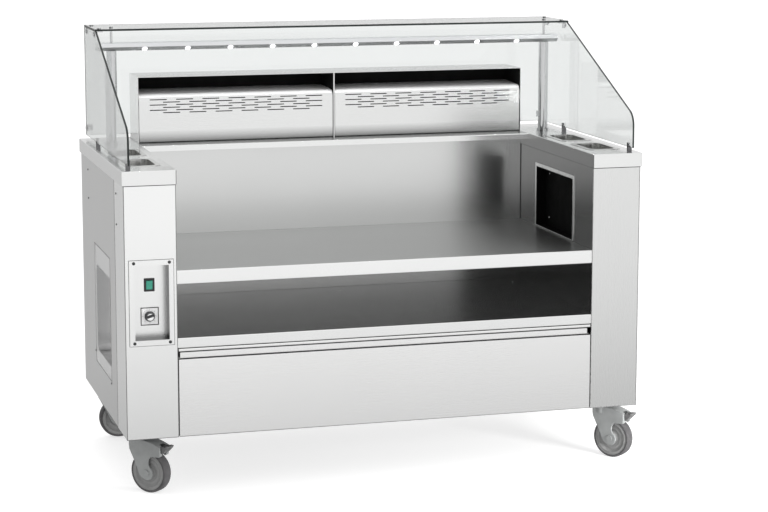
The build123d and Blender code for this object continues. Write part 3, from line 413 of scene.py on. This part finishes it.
dial_ink = moulded("dial_ink", (0.010, 0.010, 0.010), 0.55, 300.0, 0.03, 0.05, sheen=0.1)
motor_paint = moulded("motor_paint", (0.06, 0.065, 0.07), 0.45, 200.0)
print("finishes so far", len(bpy.data.materials))

# %% [markdown]
# ## Clear parts
# Toughened glass shows almost nothing of its own: a faint tint, reflections, and a ground edge that looks
# dark where light runs along the pane; that dark is painted shade, a near-black finish on the narrow faces.
# Shadow rays and diffuse rays pass straight through, or the pane would shade like a board.


# %% Glass, ground glass edges, lamp and rocker finishes
def clear_glass():
    material, tree, shader = start_material("clear_glass")
    shader.inputs["Base Color"].default_value = (0.71, 0.725, 0.72, 1.0)
    shader.inputs["Transmission Weight"].default_value = 1.0
    shader.inputs["IOR"].default_value = 1.45
    shader.inputs["Roughness"].default_value = 0.0
    path = tree.nodes.new("ShaderNodeLightPath")
    through = tree.nodes.new("ShaderNodeBsdfTransparent")
    through.inputs["Color"].default_value = (0.93, 0.95, 0.945, 1.0)
    mix = tree.nodes.new("ShaderNodeMixShader")
    passing = add_values(tree, path.outputs["Is Shadow Ray"], path.outputs["Is Diffuse Ray"], "MAXIMUM")
    tree.links.new(passing, mix.inputs[0])
    tree.links.new(shader.outputs["BSDF"], mix.inputs[1])
    tree.links.new(through.outputs["BSDF"], mix.inputs[2])
    tree.links.new(mix.outputs["Shader"], tree.nodes["Material Output"].inputs["Surface"])
    return material


def glowing(name, color, strength):
    material, _, shader = start_material(name)
    shader.inputs["Base Color"].default_value = (*color, 1.0)
    shader.inputs["Emission Color"].default_value = (*color, 1.0)
    shader.inputs["Emission Strength"].default_value = strength
    shader.inputs["Roughness"].default_value = 0.15
    return material


glass_clear = clear_glass()
# Near-black on the pane edges: painted shade for the dark line a glass edge shows.
glass_edge = moulded("glass_edge_painted_shade", (0.018, 0.022, 0.021), 0.30, 1200.0, 0.10, 0.15, sheen=0.2)
lamp_glow = glowing("lamp_glow", (1.0, 0.99, 0.97), 30.0)
# The bezels glow faintly though they are no lamps: painted glow round each lens.
bezel_painted_glow = glowing("bezel_painted_glow", (0.97, 0.98, 1.0), 0.75)
rocker_green = moulded("rocker_green", (0.045, 0.36, 0.25), 0.20, 250.0, 0.02, 0.10)
print("finishes so far", len(bpy.data.materials))

# %% [markdown]
# ## Finishes for the flat pieces
# Flat folded sheets are already right in the frame, so they keep their own mesh and only get a finish.

# %% Finishes on frame nodes
finish_of = {
    "inner_panels": bay_shaded_steel, "rear_panel": skin_steel,
    "base_frame": zinc_steel, "base_tray": box_shaded_steel, "drawer_box": box_shaded_steel,
    "drawer_rails": zinc_steel, "drawer_slides": zinc_steel, "fan_housing": zinc_steel,
    "caster_mounts": zinc_steel, "bay_plates": bay_shade_black,
    "fan_motor": motor_paint, "fan_impeller": black_plastic, "lamp_driver": black_plastic,
    "cable_gland": black_plastic, "dial_plate": dial_white, "switch_bezel": black_plastic,
}
for node, material in finish_of.items():
    mesh = nodes[node].data
    mesh.materials.clear()
    mesh.materials.append(material)
print("finished in place", len(finish_of))

# %% [markdown]
# ## Folded and round pieces shaded smoothly
# A folded sheet has a small bend at each fold, and that bend draws the bright or dark line that makes
# sheet steel look folded. A merged copy shades smoothly through the bend and stays flat beside it.
# Some zones get a much darker or paler finish than the rest of their sheet. The darker ones are painted
# shade and the paler ones painted light: they stand in for shadows and mirrored things, and they stay put in
# every view.

# %% Smooth copies of folded sheets
worktop_low, worktop_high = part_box("worktop")
column_in = worktop_high.x
worktop_cut = 0.010
worktop_front, worktop_under = worktop_low.y, worktop_high.z - worktop_cut
control_low, control_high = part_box("control_recess")
ledge_low, ledge_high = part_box("ledge")
rail_low, rail_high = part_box("light_rail")
plate_reach, plate_margin = 0.25, 0.01
plate_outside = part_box("bay_recesses")[1].x + plate_margin
drawer_low, drawer_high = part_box("drawer_front")
grip_lip, grip_shade, grip_floor = (drawer_high.z - drop for drop in (0.005, 0.0135, 0.032))
grip_floor_band = (-0.003, 0.002)
cap_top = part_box("column_caps")[1].z
cassette_low, cassette_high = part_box("left_filter_cassette")
nose_height = 0.014
rail_face_share = 0.6
hood_low, hood_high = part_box("hood_housing")
sheet = 0.001  # a reach just short of one sheet, used to tell a face on a sheet from one behind it


def inside_hood(point):
    within_x = abs(point.x) < hood_high.x - sheet
    within_y = hood_low.y + 2 * sheet < point.y < hood_high.y - sheet
    return within_x and within_y and point.z < hood_high.z - sheet


def inside_bay_recess(point):
    return abs(point.x) > column_in + 2 * sheet


def on_control_wall(point):
    return control_low.y + 1.5 * sheet < point.y < control_high.y - 1.5 * sheet


def on_cap_inner_skirt(point):
    return abs(point.x) < column_in + 0.5 * sheet and point.z < cap_top - 2 * sheet


def on_cassette_top(point):
    return point.z > cassette_high.z - nose_height and point.y > cassette_low.y + sheet


def on_rail_face(point):
    return point.z < rail_low.z + rail_face_share * (rail_high.z - rail_low.z)


def in_grip_shadow(point):
    in_channel = point.y > drawer_low.y + 2 * sheet and point.z < grip_lip
    below, above = grip_floor_band
    return in_channel and (point.z > grip_shade or grip_floor + below < point.z < grip_floor + above)


def on_bay_plate(point):
    return abs(point.y) < plate_reach and abs(point.x) < plate_outside


def on_ledge_top(point):
    return point.z > ledge_high.z - 0.3 * sheet and point.y > ledge_low.y + 2 * sheet


def below_worktop(point):
    return point.z < worktop_under


def at_front_fold(point):
    return point.y < worktop_front + 2 * sheet


# The hood's inside faces get painted shade.
smooth_copy("hood_housing", hood_steel, hood_inside_shade, inside_hood)
# Inside the bay recesses: painted shade.
smooth_copy("bay_recesses", cap_steel, bay_shade_black, inside_bay_recess)
smooth_copy("left_front_panel", front_steel)
# Painted shade: the right front is darker than the left.
smooth_copy("right_front_panel", right_front_shaded_steel)
# The control recess's walls get painted shade.
smooth_copy("control_recess", front_steel, recess_wall_shaded_steel, on_control_wall)
smooth_copy("outer_panels", skin_steel)
smooth_copy("side_recesses", recess_steel)
# The caps' inner skirts get the bays' dark steel: painted shade.
smooth_copy("column_caps", cap_steel, bay_shaded_steel, on_cap_inner_skirt)
# Below the worktop the back panel is darker: painted shade.
smooth_copy("back_panel", back_steel, lower_back_shaded_steel, below_worktop, cut_height=worktop_under)
# The darker tops of the worktop and shelf are painted shade; their front folds keep the pale steel.
smooth_copy("worktop", worktop_steel, apron_steel, at_front_fold)
smooth_copy("lower_shelf", shelf_shaded_steel, apron_steel, at_front_fold)
# The ledge's top is painted shade.
smooth_copy("ledge", cap_steel, ledge_top_shaded_steel, on_ledge_top)
smooth_copy("drawer_front", drawer_steel, corner_steel, in_grip_shadow, cut_height=grip_shade)
# The cassettes' top band is painted light, and their fronts fade to painted shade at the bottom.
smooth_copy("left_filter_cassette", cassette_steel, nose_painted_light, on_cassette_top)
smooth_copy("right_filter_cassette", cassette_steel, nose_painted_light, on_cassette_top)

# %% [markdown]
# ## Rail, posts, screws, pans and clamps
# These are copied the same way. The clamps are drawn slimmer than the frame has them: each one is scaled
# about its own middle, so it stays inside the space it had.

# %% Smooth copies of round pieces
# The lower part of the rail's face gets painted shade.
smooth_copy("light_rail", rail_metal, rail_face_shaded_metal, on_rail_face)
smooth_copy("light_posts", chrome)
smooth_copy("glass_connectors", chrome)
# The screws' dark and pale copies of one metal are painted shade and painted light.
smooth_copy("panel_screws", screw_metal, screw_painted_light_metal, on_bay_plate)
smooth_copy("switch_rocker", rocker_green)
for place in ("left_front", "left_back", "right_front", "right_back"):
    smooth_copy(f"{place}_pan", pan_steel)
slim = Matrix.Diagonal((0.8, 0.5, 1.0, 1.0))  # how much of each clamp is left along x, y and z
clamps = merged_copy("glass_clamps")
for shell in islands(clamps):
    center = sum((vert.co for vert in shell), Vector()) / len(shell)
    about = Matrix.Translation(center) @ slim @ Matrix.Translation(-center)
    bmesh.ops.transform(clamps, matrix=about, verts=list(shell))
shade_by_angle(clamps, 30)
# The clamps' dark chrome is painted shade.
clamp_piece = make_piece(clamps, "slim_clamps", "trolley", slot_of["glass_clamps"], clamp_shaded_chrome)
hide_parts("glass_clamps")

# %% [markdown]
# ## Casters
# A caster wheel is a moulded core with a pressed-on tread of thermoplastic rubber. Both are turned on a
# lathe in real life, so here a profile is spun about the wheel's own axis. The profile carries the hub,
# the dished web and the rim bead. The frame's roll joint says where the axle is and how it lies.


# %% Wheel cores and tyres
joints = {joint["name"]: joint for joint in frame["record"]["behaviour"]["joints"]}


def wheel_place(place):
    """The matrix that takes a wheel turned about Y at the origin to its axle."""
    joint = joints[f"{place}_roll"]
    x, y, _ = joint["axis"]
    return Matrix.Translation(joint["pos_m"]) @ Matrix.Rotation(math.atan2(-x, y), 4, "Z")


def millimetres(profile):
    return [(radius / 1000, height / 1000) for radius, height in profile]


def both_faces(half_profile):
    """A closed wheel section from its half, bore first, given on one side of the middle."""
    mirrored = [(radius, -height) for radius, height in reversed(half_profile)]
    return millimetres(half_profile + mirrored + half_profile[:1])


core_half_section = [(6.1, 16.8), (10.5, 16.8), (11.3, 16.2), (12.2, 14.6), (13.6, 14.6), (14.6, 16.2),
                     (16.2, 16.4), (17.4, 15.6), (19.5, 12.2), (23.0, 11.2), (28.0, 11.2), (30.5, 12.5),
                     (33.0, 12.5), (35.0, 11.2), (39.0, 11.0), (42.5, 12.4), (45.0, 15.4), (46.5, 16.0),
                     (50.2, 16.0), (51.0, 15.2), (52.0, 15.2), (52.8, 15.9), (54.4, 15.9)]
tyre_half_section = [(54.4, 15.0), (55.0, 16.3), (56.6, 17.0), (58.8, 16.7), (60.8, 15.4), (62.0, 13.2),
                     (62.4, 10.5), (62.5, 6.0)]
for place in ("front_left", "front_right", "rear_left", "rear_right"):
    for part, section, material in (("wheel_core", core_half_section, core_grey),
                                    ("tyre", tyre_half_section, tyre_rubber)):
        bm = bmesh.new()
        add_turned(bm, both_faces(section), wheel_place(place))
        bmesh.ops.recalc_face_normals(bm, faces=bm.faces)
        shade_by_angle(bm, 50)
        node = f"{place}_{part}"
        piece = make_piece(bm, f"{node}_turned", body_of_node(node), slot_of[node], material)
        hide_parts(node)
    smooth_copy(f"{place}_fork", fork_grey)
print("wheels", 4)

# %% [markdown]
# ## Brake pedals
# The pedal is a short moulded toe piece. Ribs across its tread give the shoe grip, so the frame's pedal
# is copied and seven small square ribs are laid across it, along the pedal's own slopes.


# %% Pedals with ribs
def fork_place(place):
    """The matrix that takes a fork modelled about the swivel axis at the origin to its place."""
    swivel, roll = joints[f"{place}_swivel"], joints[f"{place}_roll"]
    x, y, _ = roll["axis"]
    foot = Vector((swivel["pos_m"][0], swivel["pos_m"][1], 0.0))
    return Matrix.Translation(foot) @ Matrix.Rotation(math.atan2(-x, y), 4, "Z")


rib_half, rib_reach = 0.0008, 0.0155
rib_spots = [(0.0915 + 0.0052 * step, 0.1260 + 0.0050 * step) for step in range(4)]
rib_spots += [(0.0920, 0.1470), (0.0975, 0.1467), (0.1030, 0.1478)]
for place in ("front_left", "front_right"):
    node = f"{place}_brake_pedal"
    bm = merged_copy(node)
    for along, up in rib_spots:
        add_box(bm, (along - rib_half, -rib_reach, up - rib_half),
                (along + rib_half, rib_reach, up + rib_half), fork_place(place))
    shade_by_angle(bm, 30)
    piece = make_piece(bm, f"{node}_ribbed", body_of_node(node), slot_of[node], pedal_grey)
    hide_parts(node)
print("ribs on each pedal", len(rib_spots))

# %% [markdown]
# ## Lamps in the rail
# Each lamp is a small bright lens in a bezel, and each bezel glows faintly: painted glow. The frame gives ten
# discs on the slanted face of the rail.
# Each disc's own middle and facing place one turned bezel and one domed lens.


# %% Lamp bezels and lenses
def disc_place(shell, facing):
    """Stands a lathe axis (+Z) on the back of a small disc, pointing the way it faces."""
    middle = sum((vert.co for vert in shell), Vector()) / len(shell)
    return Matrix.Translation(middle) @ facing.to_track_quat("Z", "Y").to_matrix().to_4x4()


discs = merged_copy("led_lamps")
biggest = max(discs.faces, key=lambda face: face.calc_area() if face.normal.z < -0.3 else 0.0)
lamp_facing = biggest.normal.copy()
bezel_section = [(5.2, -1.2), (9.0, -1.2), (9.0, 0.6), (8.4, 1.2), (6.4, 1.2), (5.2, 0.4), (5.2, -1.2)]
lens_section = [(0.0, -0.4), (5.1, -0.4), (5.1, 0.3), (4.0, 0.8), (2.2, 1.15), (0.0, 1.2)]
bezels, lenses = bmesh.new(), bmesh.new()
for shell in islands(discs):
    stand = disc_place(shell, lamp_facing)
    add_turned(bezels, millimetres(bezel_section), stand, (0.0, 0.0, 1.0), 32)
    add_turned(lenses, millimetres(lens_section), stand, (0.0, 0.0, 1.0), 32)
discs.free()
for bm in (bezels, lenses):
    bmesh.ops.recalc_face_normals(bm, faces=bm.faces)
    shade_by_angle(bm, 40)
# The bezels carry the painted glow.
make_piece(bezels, "lamp_bezels", "trolley", "rail_aluminium", bezel_painted_glow)
lens_piece = make_piece(lenses, "lamp_lenses", "trolley", "lamp_lens", lamp_glow)
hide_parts("led_lamps")
print("lamp faces", len(lens_piece.data.polygons))

# %% [markdown]
# ## Dial and knob
# The dial plate is white with a dark printed border and eight short marks round the knob. Print has
# almost no thickness, but a tenth of a millimetre of real relief keeps it crisp from every side.


# %% Printed border and marks
plate_low, plate_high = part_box("dial_plate")
plate_middle = (plate_low + plate_high) / 2
plate_half = (plate_high.x - plate_low.x) / 2
print_relief = 0.0001
border = 0.0026


def add_flat_bar(bm, low, high, turn=0.0):
    """A printed bar on the dial's face, given in the dial's own x and z and turned about its middle."""
    face = Matrix.Translation((plate_middle.x, plate_low.y, plate_middle.z)) @ Matrix.Rotation(turn, 4, "Y")
    add_box(bm, (low[0], -print_relief, low[1]), (high[0], 0.0, high[1]), face)


border_print, mark_print = bmesh.new(), bmesh.new()
edge = plate_half - 0.0004
for turn in range(4):
    add_flat_bar(border_print, (-edge, edge - border), (edge, edge), turn * math.pi / 2)
for step in range(8):
    add_flat_bar(mark_print, (-0.0006, 0.0178), (0.0006, 0.0222), step * math.pi / 4)
make_piece(border_print, "dial_border", "trolley", "black_plastic", dial_ink)
make_piece(mark_print, "dial_marks", "trolley", "black_plastic", dial_grey)
print("printed border", border)

# %% [markdown]
# ## The knob
# A turned skirt, a pale turned cap and a rounded pointer bar ride on the knob's own body, so all three
# turn together.

# %% Knob with its pale cap and pointer bar
knob_back = plate_low.y - 0.0004
knob_stand = (Matrix.Translation((plate_middle.x, knob_back, plate_middle.z))
              @ Matrix.Rotation(math.pi / 2, 4, "X"))
skirt_section = [(3.0, 0.0), (15.3, 0.0), (15.4, 1.5), (14.6, 5.5), (13.2, 7.0), (12.2, 12.5), (11.6, 14.0),
                 (10.6, 14.4), (10.3, 13.6), (3.0, 13.2), (3.0, 0.0)]
cap_section = [(0.0, 13.2), (10.2, 13.2), (10.2, 13.9), (7.5, 14.5), (4.0, 14.9), (0.0, 15.0)]
skirt, cap = bmesh.new(), bmesh.new()
add_turned(skirt, millimetres(skirt_section), knob_stand, (0.0, 0.0, 1.0), 64)
add_turned(cap, millimetres(cap_section), knob_stand, (0.0, 0.0, 1.0), 64)
for bm in (skirt, cap):
    bmesh.ops.recalc_face_normals(bm, faces=bm.faces)
    shade_by_angle(bm, 35)
skirt_piece = make_piece(skirt, "knob_skirt", "knob", "black_plastic", knob_grey)
make_piece(cap, "knob_cap", "knob", "dial_white", knob_cap_white)
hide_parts("control_knob")
pointer = bmesh.new()
pointer_turn = knob_stand @ Matrix.Rotation(math.radians(16), 4, "Z")
add_box(pointer, (-0.0102, -0.0015, 0.0130), (0.0102, 0.0065, 0.0172), pointer_turn)
bmesh.ops.bevel(pointer, geom=pointer.edges[:], offset=0.0012, offset_type="OFFSET", affect="EDGES",
                segments=3, profile=0.5, material=-1)
shade_by_angle(pointer, 40)
make_piece(pointer, "knob_pointer", "knob", "black_plastic", black_plastic)
print("knob pieces", 3)

# %% [markdown]
# ## Painted shade under the caps
# A thin near-black strip lies between each cap's skirt and its column. It is painted shade: from the front
# it is the fine dark line that parts the cap from the column.


# %% Strips of painted shade under the caps
front_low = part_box("left_front_panel")[0]
column_out = -front_low.x
skirt_bottom = cap_top - 0.042
strip_height, strip_depth, strip_cover = 0.0026, 0.0008, 0.0005
# Strips of painted shade under the caps' skirts.
shadow_strips = bmesh.new()
for side in (-1, 1):
    near, far = sorted((side * column_in, side * (column_out + strip_depth)))
    add_box(shadow_strips, (near, front_low.y - strip_depth, skirt_bottom - strip_height),
            (far, front_low.y, skirt_bottom + strip_cover))
    near, far = sorted((side * column_out, side * (column_out + strip_depth)))
    add_box(shadow_strips, (near, front_low.y, skirt_bottom - strip_height),
            (far, -front_low.y, skirt_bottom + strip_cover))
print("strips under the caps", len(shadow_strips.verts) // 8)
make_piece(shadow_strips, "cap_shadow_lines", "trolley", "black_plastic", cap_shadow_black)

# %% [markdown]
# ## Lines where sheets meet
# Two sheets that meet leave a gap too fine for the frame. A thin dark bar stands in for each gap and for the
# painted shade along it; the bars along bottom edges, in the back corners and under the caps' inner skirts
# are painted shade only. Each bar is either proud of the sheet by a hair or laid in the corner between two
# sheets.


# %% Dark lines where sheets meet
hair = 0.0003
control_line, seam_line, bottom_line, skirt_line = 0.0012, 0.0018, 0.0016, 0.0014
joint_gap = 0.0001
corner_near, corner_far = 0.0016, 0.0002
worktop_gap = 0.0005
side_seam, half_side_seam = -0.250, 0.0012
flange = 0.020


def frame_bars(bm, low, high, axis, line):
    """Four bars round a rectangle whose flat side faces along axis (0 for x, 1 for y)."""
    across = 1 - axis
    for end, side in ((low, -1), (high, 1)):
        a, b = low.copy(), high.copy()
        a[across], b[across] = sorted((end[across], end[across] + side * line))
        add_box(bm, a, b)
        a, b = low.copy(), high.copy()
        a[2], b[2] = sorted((end[2], end[2] + side * line))
        a[across], b[across] = low[across] - line, high[across] + line
        add_box(bm, a, b)


def front_bar(bm, ends, low_z, high_z):
    """A bar on a column's front between two x places, given in either order."""
    add_box(bm, (min(ends), front_low.y - hair, low_z), (max(ends), front_low.y, high_z))


seams = bmesh.new()
seam_top = skirt_bottom - strip_height
frame_bars(seams, Vector((control_low.x, control_low.y - hair, control_low.z)),
           Vector((control_high.x, control_low.y, control_high.z)), 1, control_line)
for side in (-1, 1):
    front_bar(seams, (side * (column_in + joint_gap), side * (column_in + seam_line)), front_low.z, seam_top)
    front_bar(seams, (side * (column_out - seam_line), side * column_out), front_low.z, seam_top)
    front_bar(seams, (side * column_in, side * column_out), front_low.z, front_low.z + bottom_line)
back_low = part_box("back_panel")[0]
for side in (-1, 1):
    near, far = sorted((side * (column_in - corner_near), side * (column_in - corner_far)))
    add_box(seams, (near, back_low.y - corner_near, worktop_high.z + worktop_gap),
            (far, back_low.y - corner_far, ledge_low.z))
    near, far = sorted((side * (column_in - hair), side * column_in))
    add_box(seams, (near, front_low.y + sheet, skirt_bottom - skirt_line),
            (far, back_low.y - 2 * sheet, skirt_bottom))
# The drawer's bottom edge gets a dark line of painted shade.
drawer_line = bmesh.new()
add_box(drawer_line, (drawer_low.x, drawer_low.y - hair, drawer_low.z),
        (drawer_high.x, drawer_low.y, drawer_low.z + bottom_line))
make_piece(drawer_line, "drawer_edge_line", "drawer", "black_plastic", seam_grey)
side_low, side_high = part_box("side_recesses")
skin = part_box("outer_panels")[1].x
for side in (-1, 1):
    near, far = sorted((side * skin, side * (skin + hair)))
    frame_bars(seams, Vector((near, side_low.y + flange, side_low.z + flange)),
               Vector((far, side_high.y - flange, side_high.z - flange)), 0, seam_line)
    add_box(seams, (near, side_seam - half_side_seam, front_low.z),
            (far, side_seam + half_side_seam, seam_top))
print("dark bars", len(seams.verts) // 8)
make_piece(seams, "seam_lines", "trolley", "black_plastic", seam_grey)

# %% [markdown]
# ## Glass panes
# Each pane is a frame solid whose wide faces are clear and whose narrow faces are ground. The faces are
# sorted by their direction, so the near-black edge finish shows all round every pane: painted shade for the
# dark line a glass edge shows.


# %% Panes with ground edges
def glass_pane(node, wide_axis):
    bm = merged_copy(node)
    for face in bm.faces:
        face.material_index = 0 if abs(face.normal[wide_axis]) > 0.95 else 1
    piece = make_piece(bm, f"{node}_clear", body_of_node(node), slot_of[node], glass_clear, glass_edge)
    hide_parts(node)


glass_pane("side_glasses", 0)
glass_pane("rear_glass", 1)
glass_pane("top_glass", 2)
print("pane nodes", 3)

# %% [markdown]
# ## Surroundings
# The camera sees plain white round the trolley. Steel is nearly a mirror and needs a room to show, so
# rays mirrored in it see bright and dark directions instead, fixed to the compass about the trolley.
# The levels are chosen one by one, and no real room was modelled.


# %% Surroundings
# Each pair is a compass direction about the trolley in degrees, 0 to the front and 90 to the right, and
# how bright the room is that way in mirrored rays.
room_levels = ((-180, 0.74), (-168, 0.62), (-140, 0.50), (-115, 0.12), (-70, 0.04), (-19, 0.04), (-9, 0.45),
               (3, 0.98), (11, 1.06), (17, 0.88), (24, 0.80), (42, 0.74), (56, 0.20), (72, 0.16), (86, 0.72),
               (130, 0.66), (150, 0.82), (180, 0.74))


def level_ramp(tree, value, steps):
    ramp = tree.nodes.new("ShaderNodeValToRGB")
    elements = ramp.color_ramp.elements
    while len(elements) < len(steps):
        elements.new(0.5)
    for element, (position, level) in zip(elements, steps):
        element.position = position
        element.color = (level, level, level, 1.0)
    tree.links.new(value, ramp.inputs["Fac"])
    return ramp.outputs["Color"]


def ramp_of_directions(tree, direction):
    split = tree.nodes.new("ShaderNodeSeparateXYZ")
    tree.links.new(direction, split.inputs["Vector"])
    ahead = add_values(tree, split.outputs["Y"], -1.0, "MULTIPLY")
    compass = add_values(tree, split.outputs["X"], ahead, "ARCTAN2")
    steps = [((degrees + 180) / 360, level) for degrees, level in room_levels]
    return level_ramp(tree, spread(tree, compass, 0.0, 1.0, -math.pi, math.pi), steps), split.outputs["Z"]


def mirrored_rays(tree):
    """1 for a ray mirrored in a surface, 0 for the camera's own rays and those that came through glass."""
    path = tree.nodes.new("ShaderNodeLightPath")
    glossy, through_glass = path.outputs["Is Glossy Ray"], path.outputs["Is Transmission Ray"]
    return add_values(tree, glossy, through_glass, "SUBTRACT")


def build_world():
    world = bpy.data.worlds.new("studio")
    world.use_nodes = True
    bpy.context.scene.world = world
    tree = world.node_tree
    tree.nodes.clear()
    output = tree.nodes.new("ShaderNodeOutputWorld")
    source = tree.nodes.new("ShaderNodeTexCoord")
    around, height = ramp_of_directions(tree, source.outputs["Generated"])
    ceiling = tree.nodes.new("ShaderNodeMix")
    ceiling.data_type = "RGBA"
    tree.links.new(spread(tree, height, 0.0, 1.0, 0.25, 0.6), ceiling.inputs["Factor"])
    tree.links.new(around, ceiling.inputs["A"])
    ceiling.inputs["B"].default_value = (0.95, 0.95, 0.95, 1.0)
    room = tree.nodes.new("ShaderNodeBackground")
    tree.links.new(ceiling.outputs["Result"], room.inputs["Color"])
    backdrop = tree.nodes.new("ShaderNodeBackground")
    backdrop.inputs["Color"].default_value = (1.0, 1.0, 1.0, 1.0)
    mix = tree.nodes.new("ShaderNodeMixShader")
    tree.links.new(mirrored_rays(tree), mix.inputs[0])
    tree.links.new(backdrop.outputs["Background"], mix.inputs[1])
    tree.links.new(room.outputs["Background"], mix.inputs[2])
    tree.links.new(mix.outputs["Shader"], output.inputs["Surface"])


build_world()
print("room directions", len(room_levels))

# %% [markdown]
# ## Floor
# The camera and the glass see one plain pale floor. Rays mirrored in steel see a floor that fades along Y
# instead, bright well ahead of the trolley and grey under it, a painted shadow of the trolley in the mirrored
# floor. That is a studio trick chosen for the looks of the steel. A real plain floor would not mirror like
# that.


# %% Floor
# How bright the floor is in mirrored rays, from well in front of the trolley to well behind it.
floor_reach = 7.0
floor_levels = ((0.0, 1.0), (0.18, 0.96), (0.33, 0.80), (0.42, 0.62), (0.50, 0.45), (0.60, 0.56), (1.0, 0.58))


def build_floor():
    bm = bmesh.new()
    bmesh.ops.create_circle(bm, cap_ends=True, segments=96, radius=30.0)
    mesh = bpy.data.meshes.new("floor")
    bm.to_mesh(mesh)
    bm.free()
    floor = bpy.data.objects.new("floor", mesh)
    bpy.context.scene.collection.objects.link(floor)
    material, tree, shader = start_material("floor_paint")
    shader.inputs["Base Color"].default_value = (0.55, 0.55, 0.55, 1.0)
    shader.inputs["Roughness"].default_value = 0.7
    shader.inputs["Emission Color"].default_value = (1.0, 1.0, 1.0, 1.0)
    shader.inputs["Emission Strength"].default_value = 0.62
    place = object_coordinates(tree, (1.0, 1.0, 1.0))
    split = tree.nodes.new("ShaderNodeSeparateXYZ")
    tree.links.new(place, split.inputs["Vector"])
    along = spread(tree, split.outputs["Y"], 0.0, 1.0, -floor_reach, floor_reach)
    reach = level_ramp(tree, along, floor_levels)
    shown = tree.nodes.new("ShaderNodeEmission")
    tree.links.new(reach, shown.inputs["Color"])
    mix = tree.nodes.new("ShaderNodeMixShader")
    tree.links.new(mirrored_rays(tree), mix.inputs[0])
    tree.links.new(shader.outputs["BSDF"], mix.inputs[1])
    tree.links.new(shown.outputs["Emission"], mix.inputs[2])
    tree.links.new(mix.outputs["Shader"], tree.nodes["Material Output"].inputs["Surface"])
    mesh.materials.append(material)


build_floor()
print("floor levels in mirrored rays", len(floor_levels))

# %% [markdown]
# ## Studio lamps
# Three soft lamps model the shape: one ahead, one above, and a small low one near the right front caster.
# None of them can be seen in the steel, so no lamp draws a hard rectangle on a sheet.


# %% Lamps of the studio
def area_light(name, place, target, size, energy):
    light = bpy.data.lights.new(name, "AREA")
    light.shape = "RECTANGLE"
    light.size, light.size_y = size
    light.energy = energy
    lamp = bpy.data.objects.new(name, light)
    bpy.context.scene.collection.objects.link(lamp)
    lamp.location = place
    lamp.rotation_euler = (Vector(target) - Vector(place)).to_track_quat("-Z", "Y").to_euler()
    lamp.visible_camera = False
    lamp.visible_glossy = False


middle = (cad_low + cad_high) / 2
area_light("key_light", (2.5, -3.5, 3.6), middle, (2.5, 2.5), 40)
area_light("top_light", (0.0, 0.0, 4.2), middle, (3.0, 2.0), 25)
area_light("low_light", (1.4, -1.6, 0.45), (0.76, -0.3, 0.08), (0.5, 0.5), 50)
print("studio lamps", len(bpy.data.lights))

# %% [markdown]
# ## Camera
# A long lens from the front left keeps the uprights nearly parallel. The small shift frames the trolley.


# %% Camera
def build_camera():
    data = bpy.data.cameras.new("camera")
    data.lens = 101.3
    data.shift_x = 0.0098
    data.shift_y = -0.0736
    camera = bpy.data.objects.new("camera", data)
    bpy.context.scene.collection.objects.link(camera)
    camera.location = (-1.7716, -6.484, 1.798)
    look = Vector((0.2710, 0.9513, -0.1465))
    camera.rotation_euler = look.to_track_quat("-Z", "Y").to_euler()
    bpy.context.scene.camera = camera


build_camera()
bpy.context.scene.view_settings.view_transform = "Standard"
print("camera lens", round(bpy.context.scene.camera.data.lens, 1))
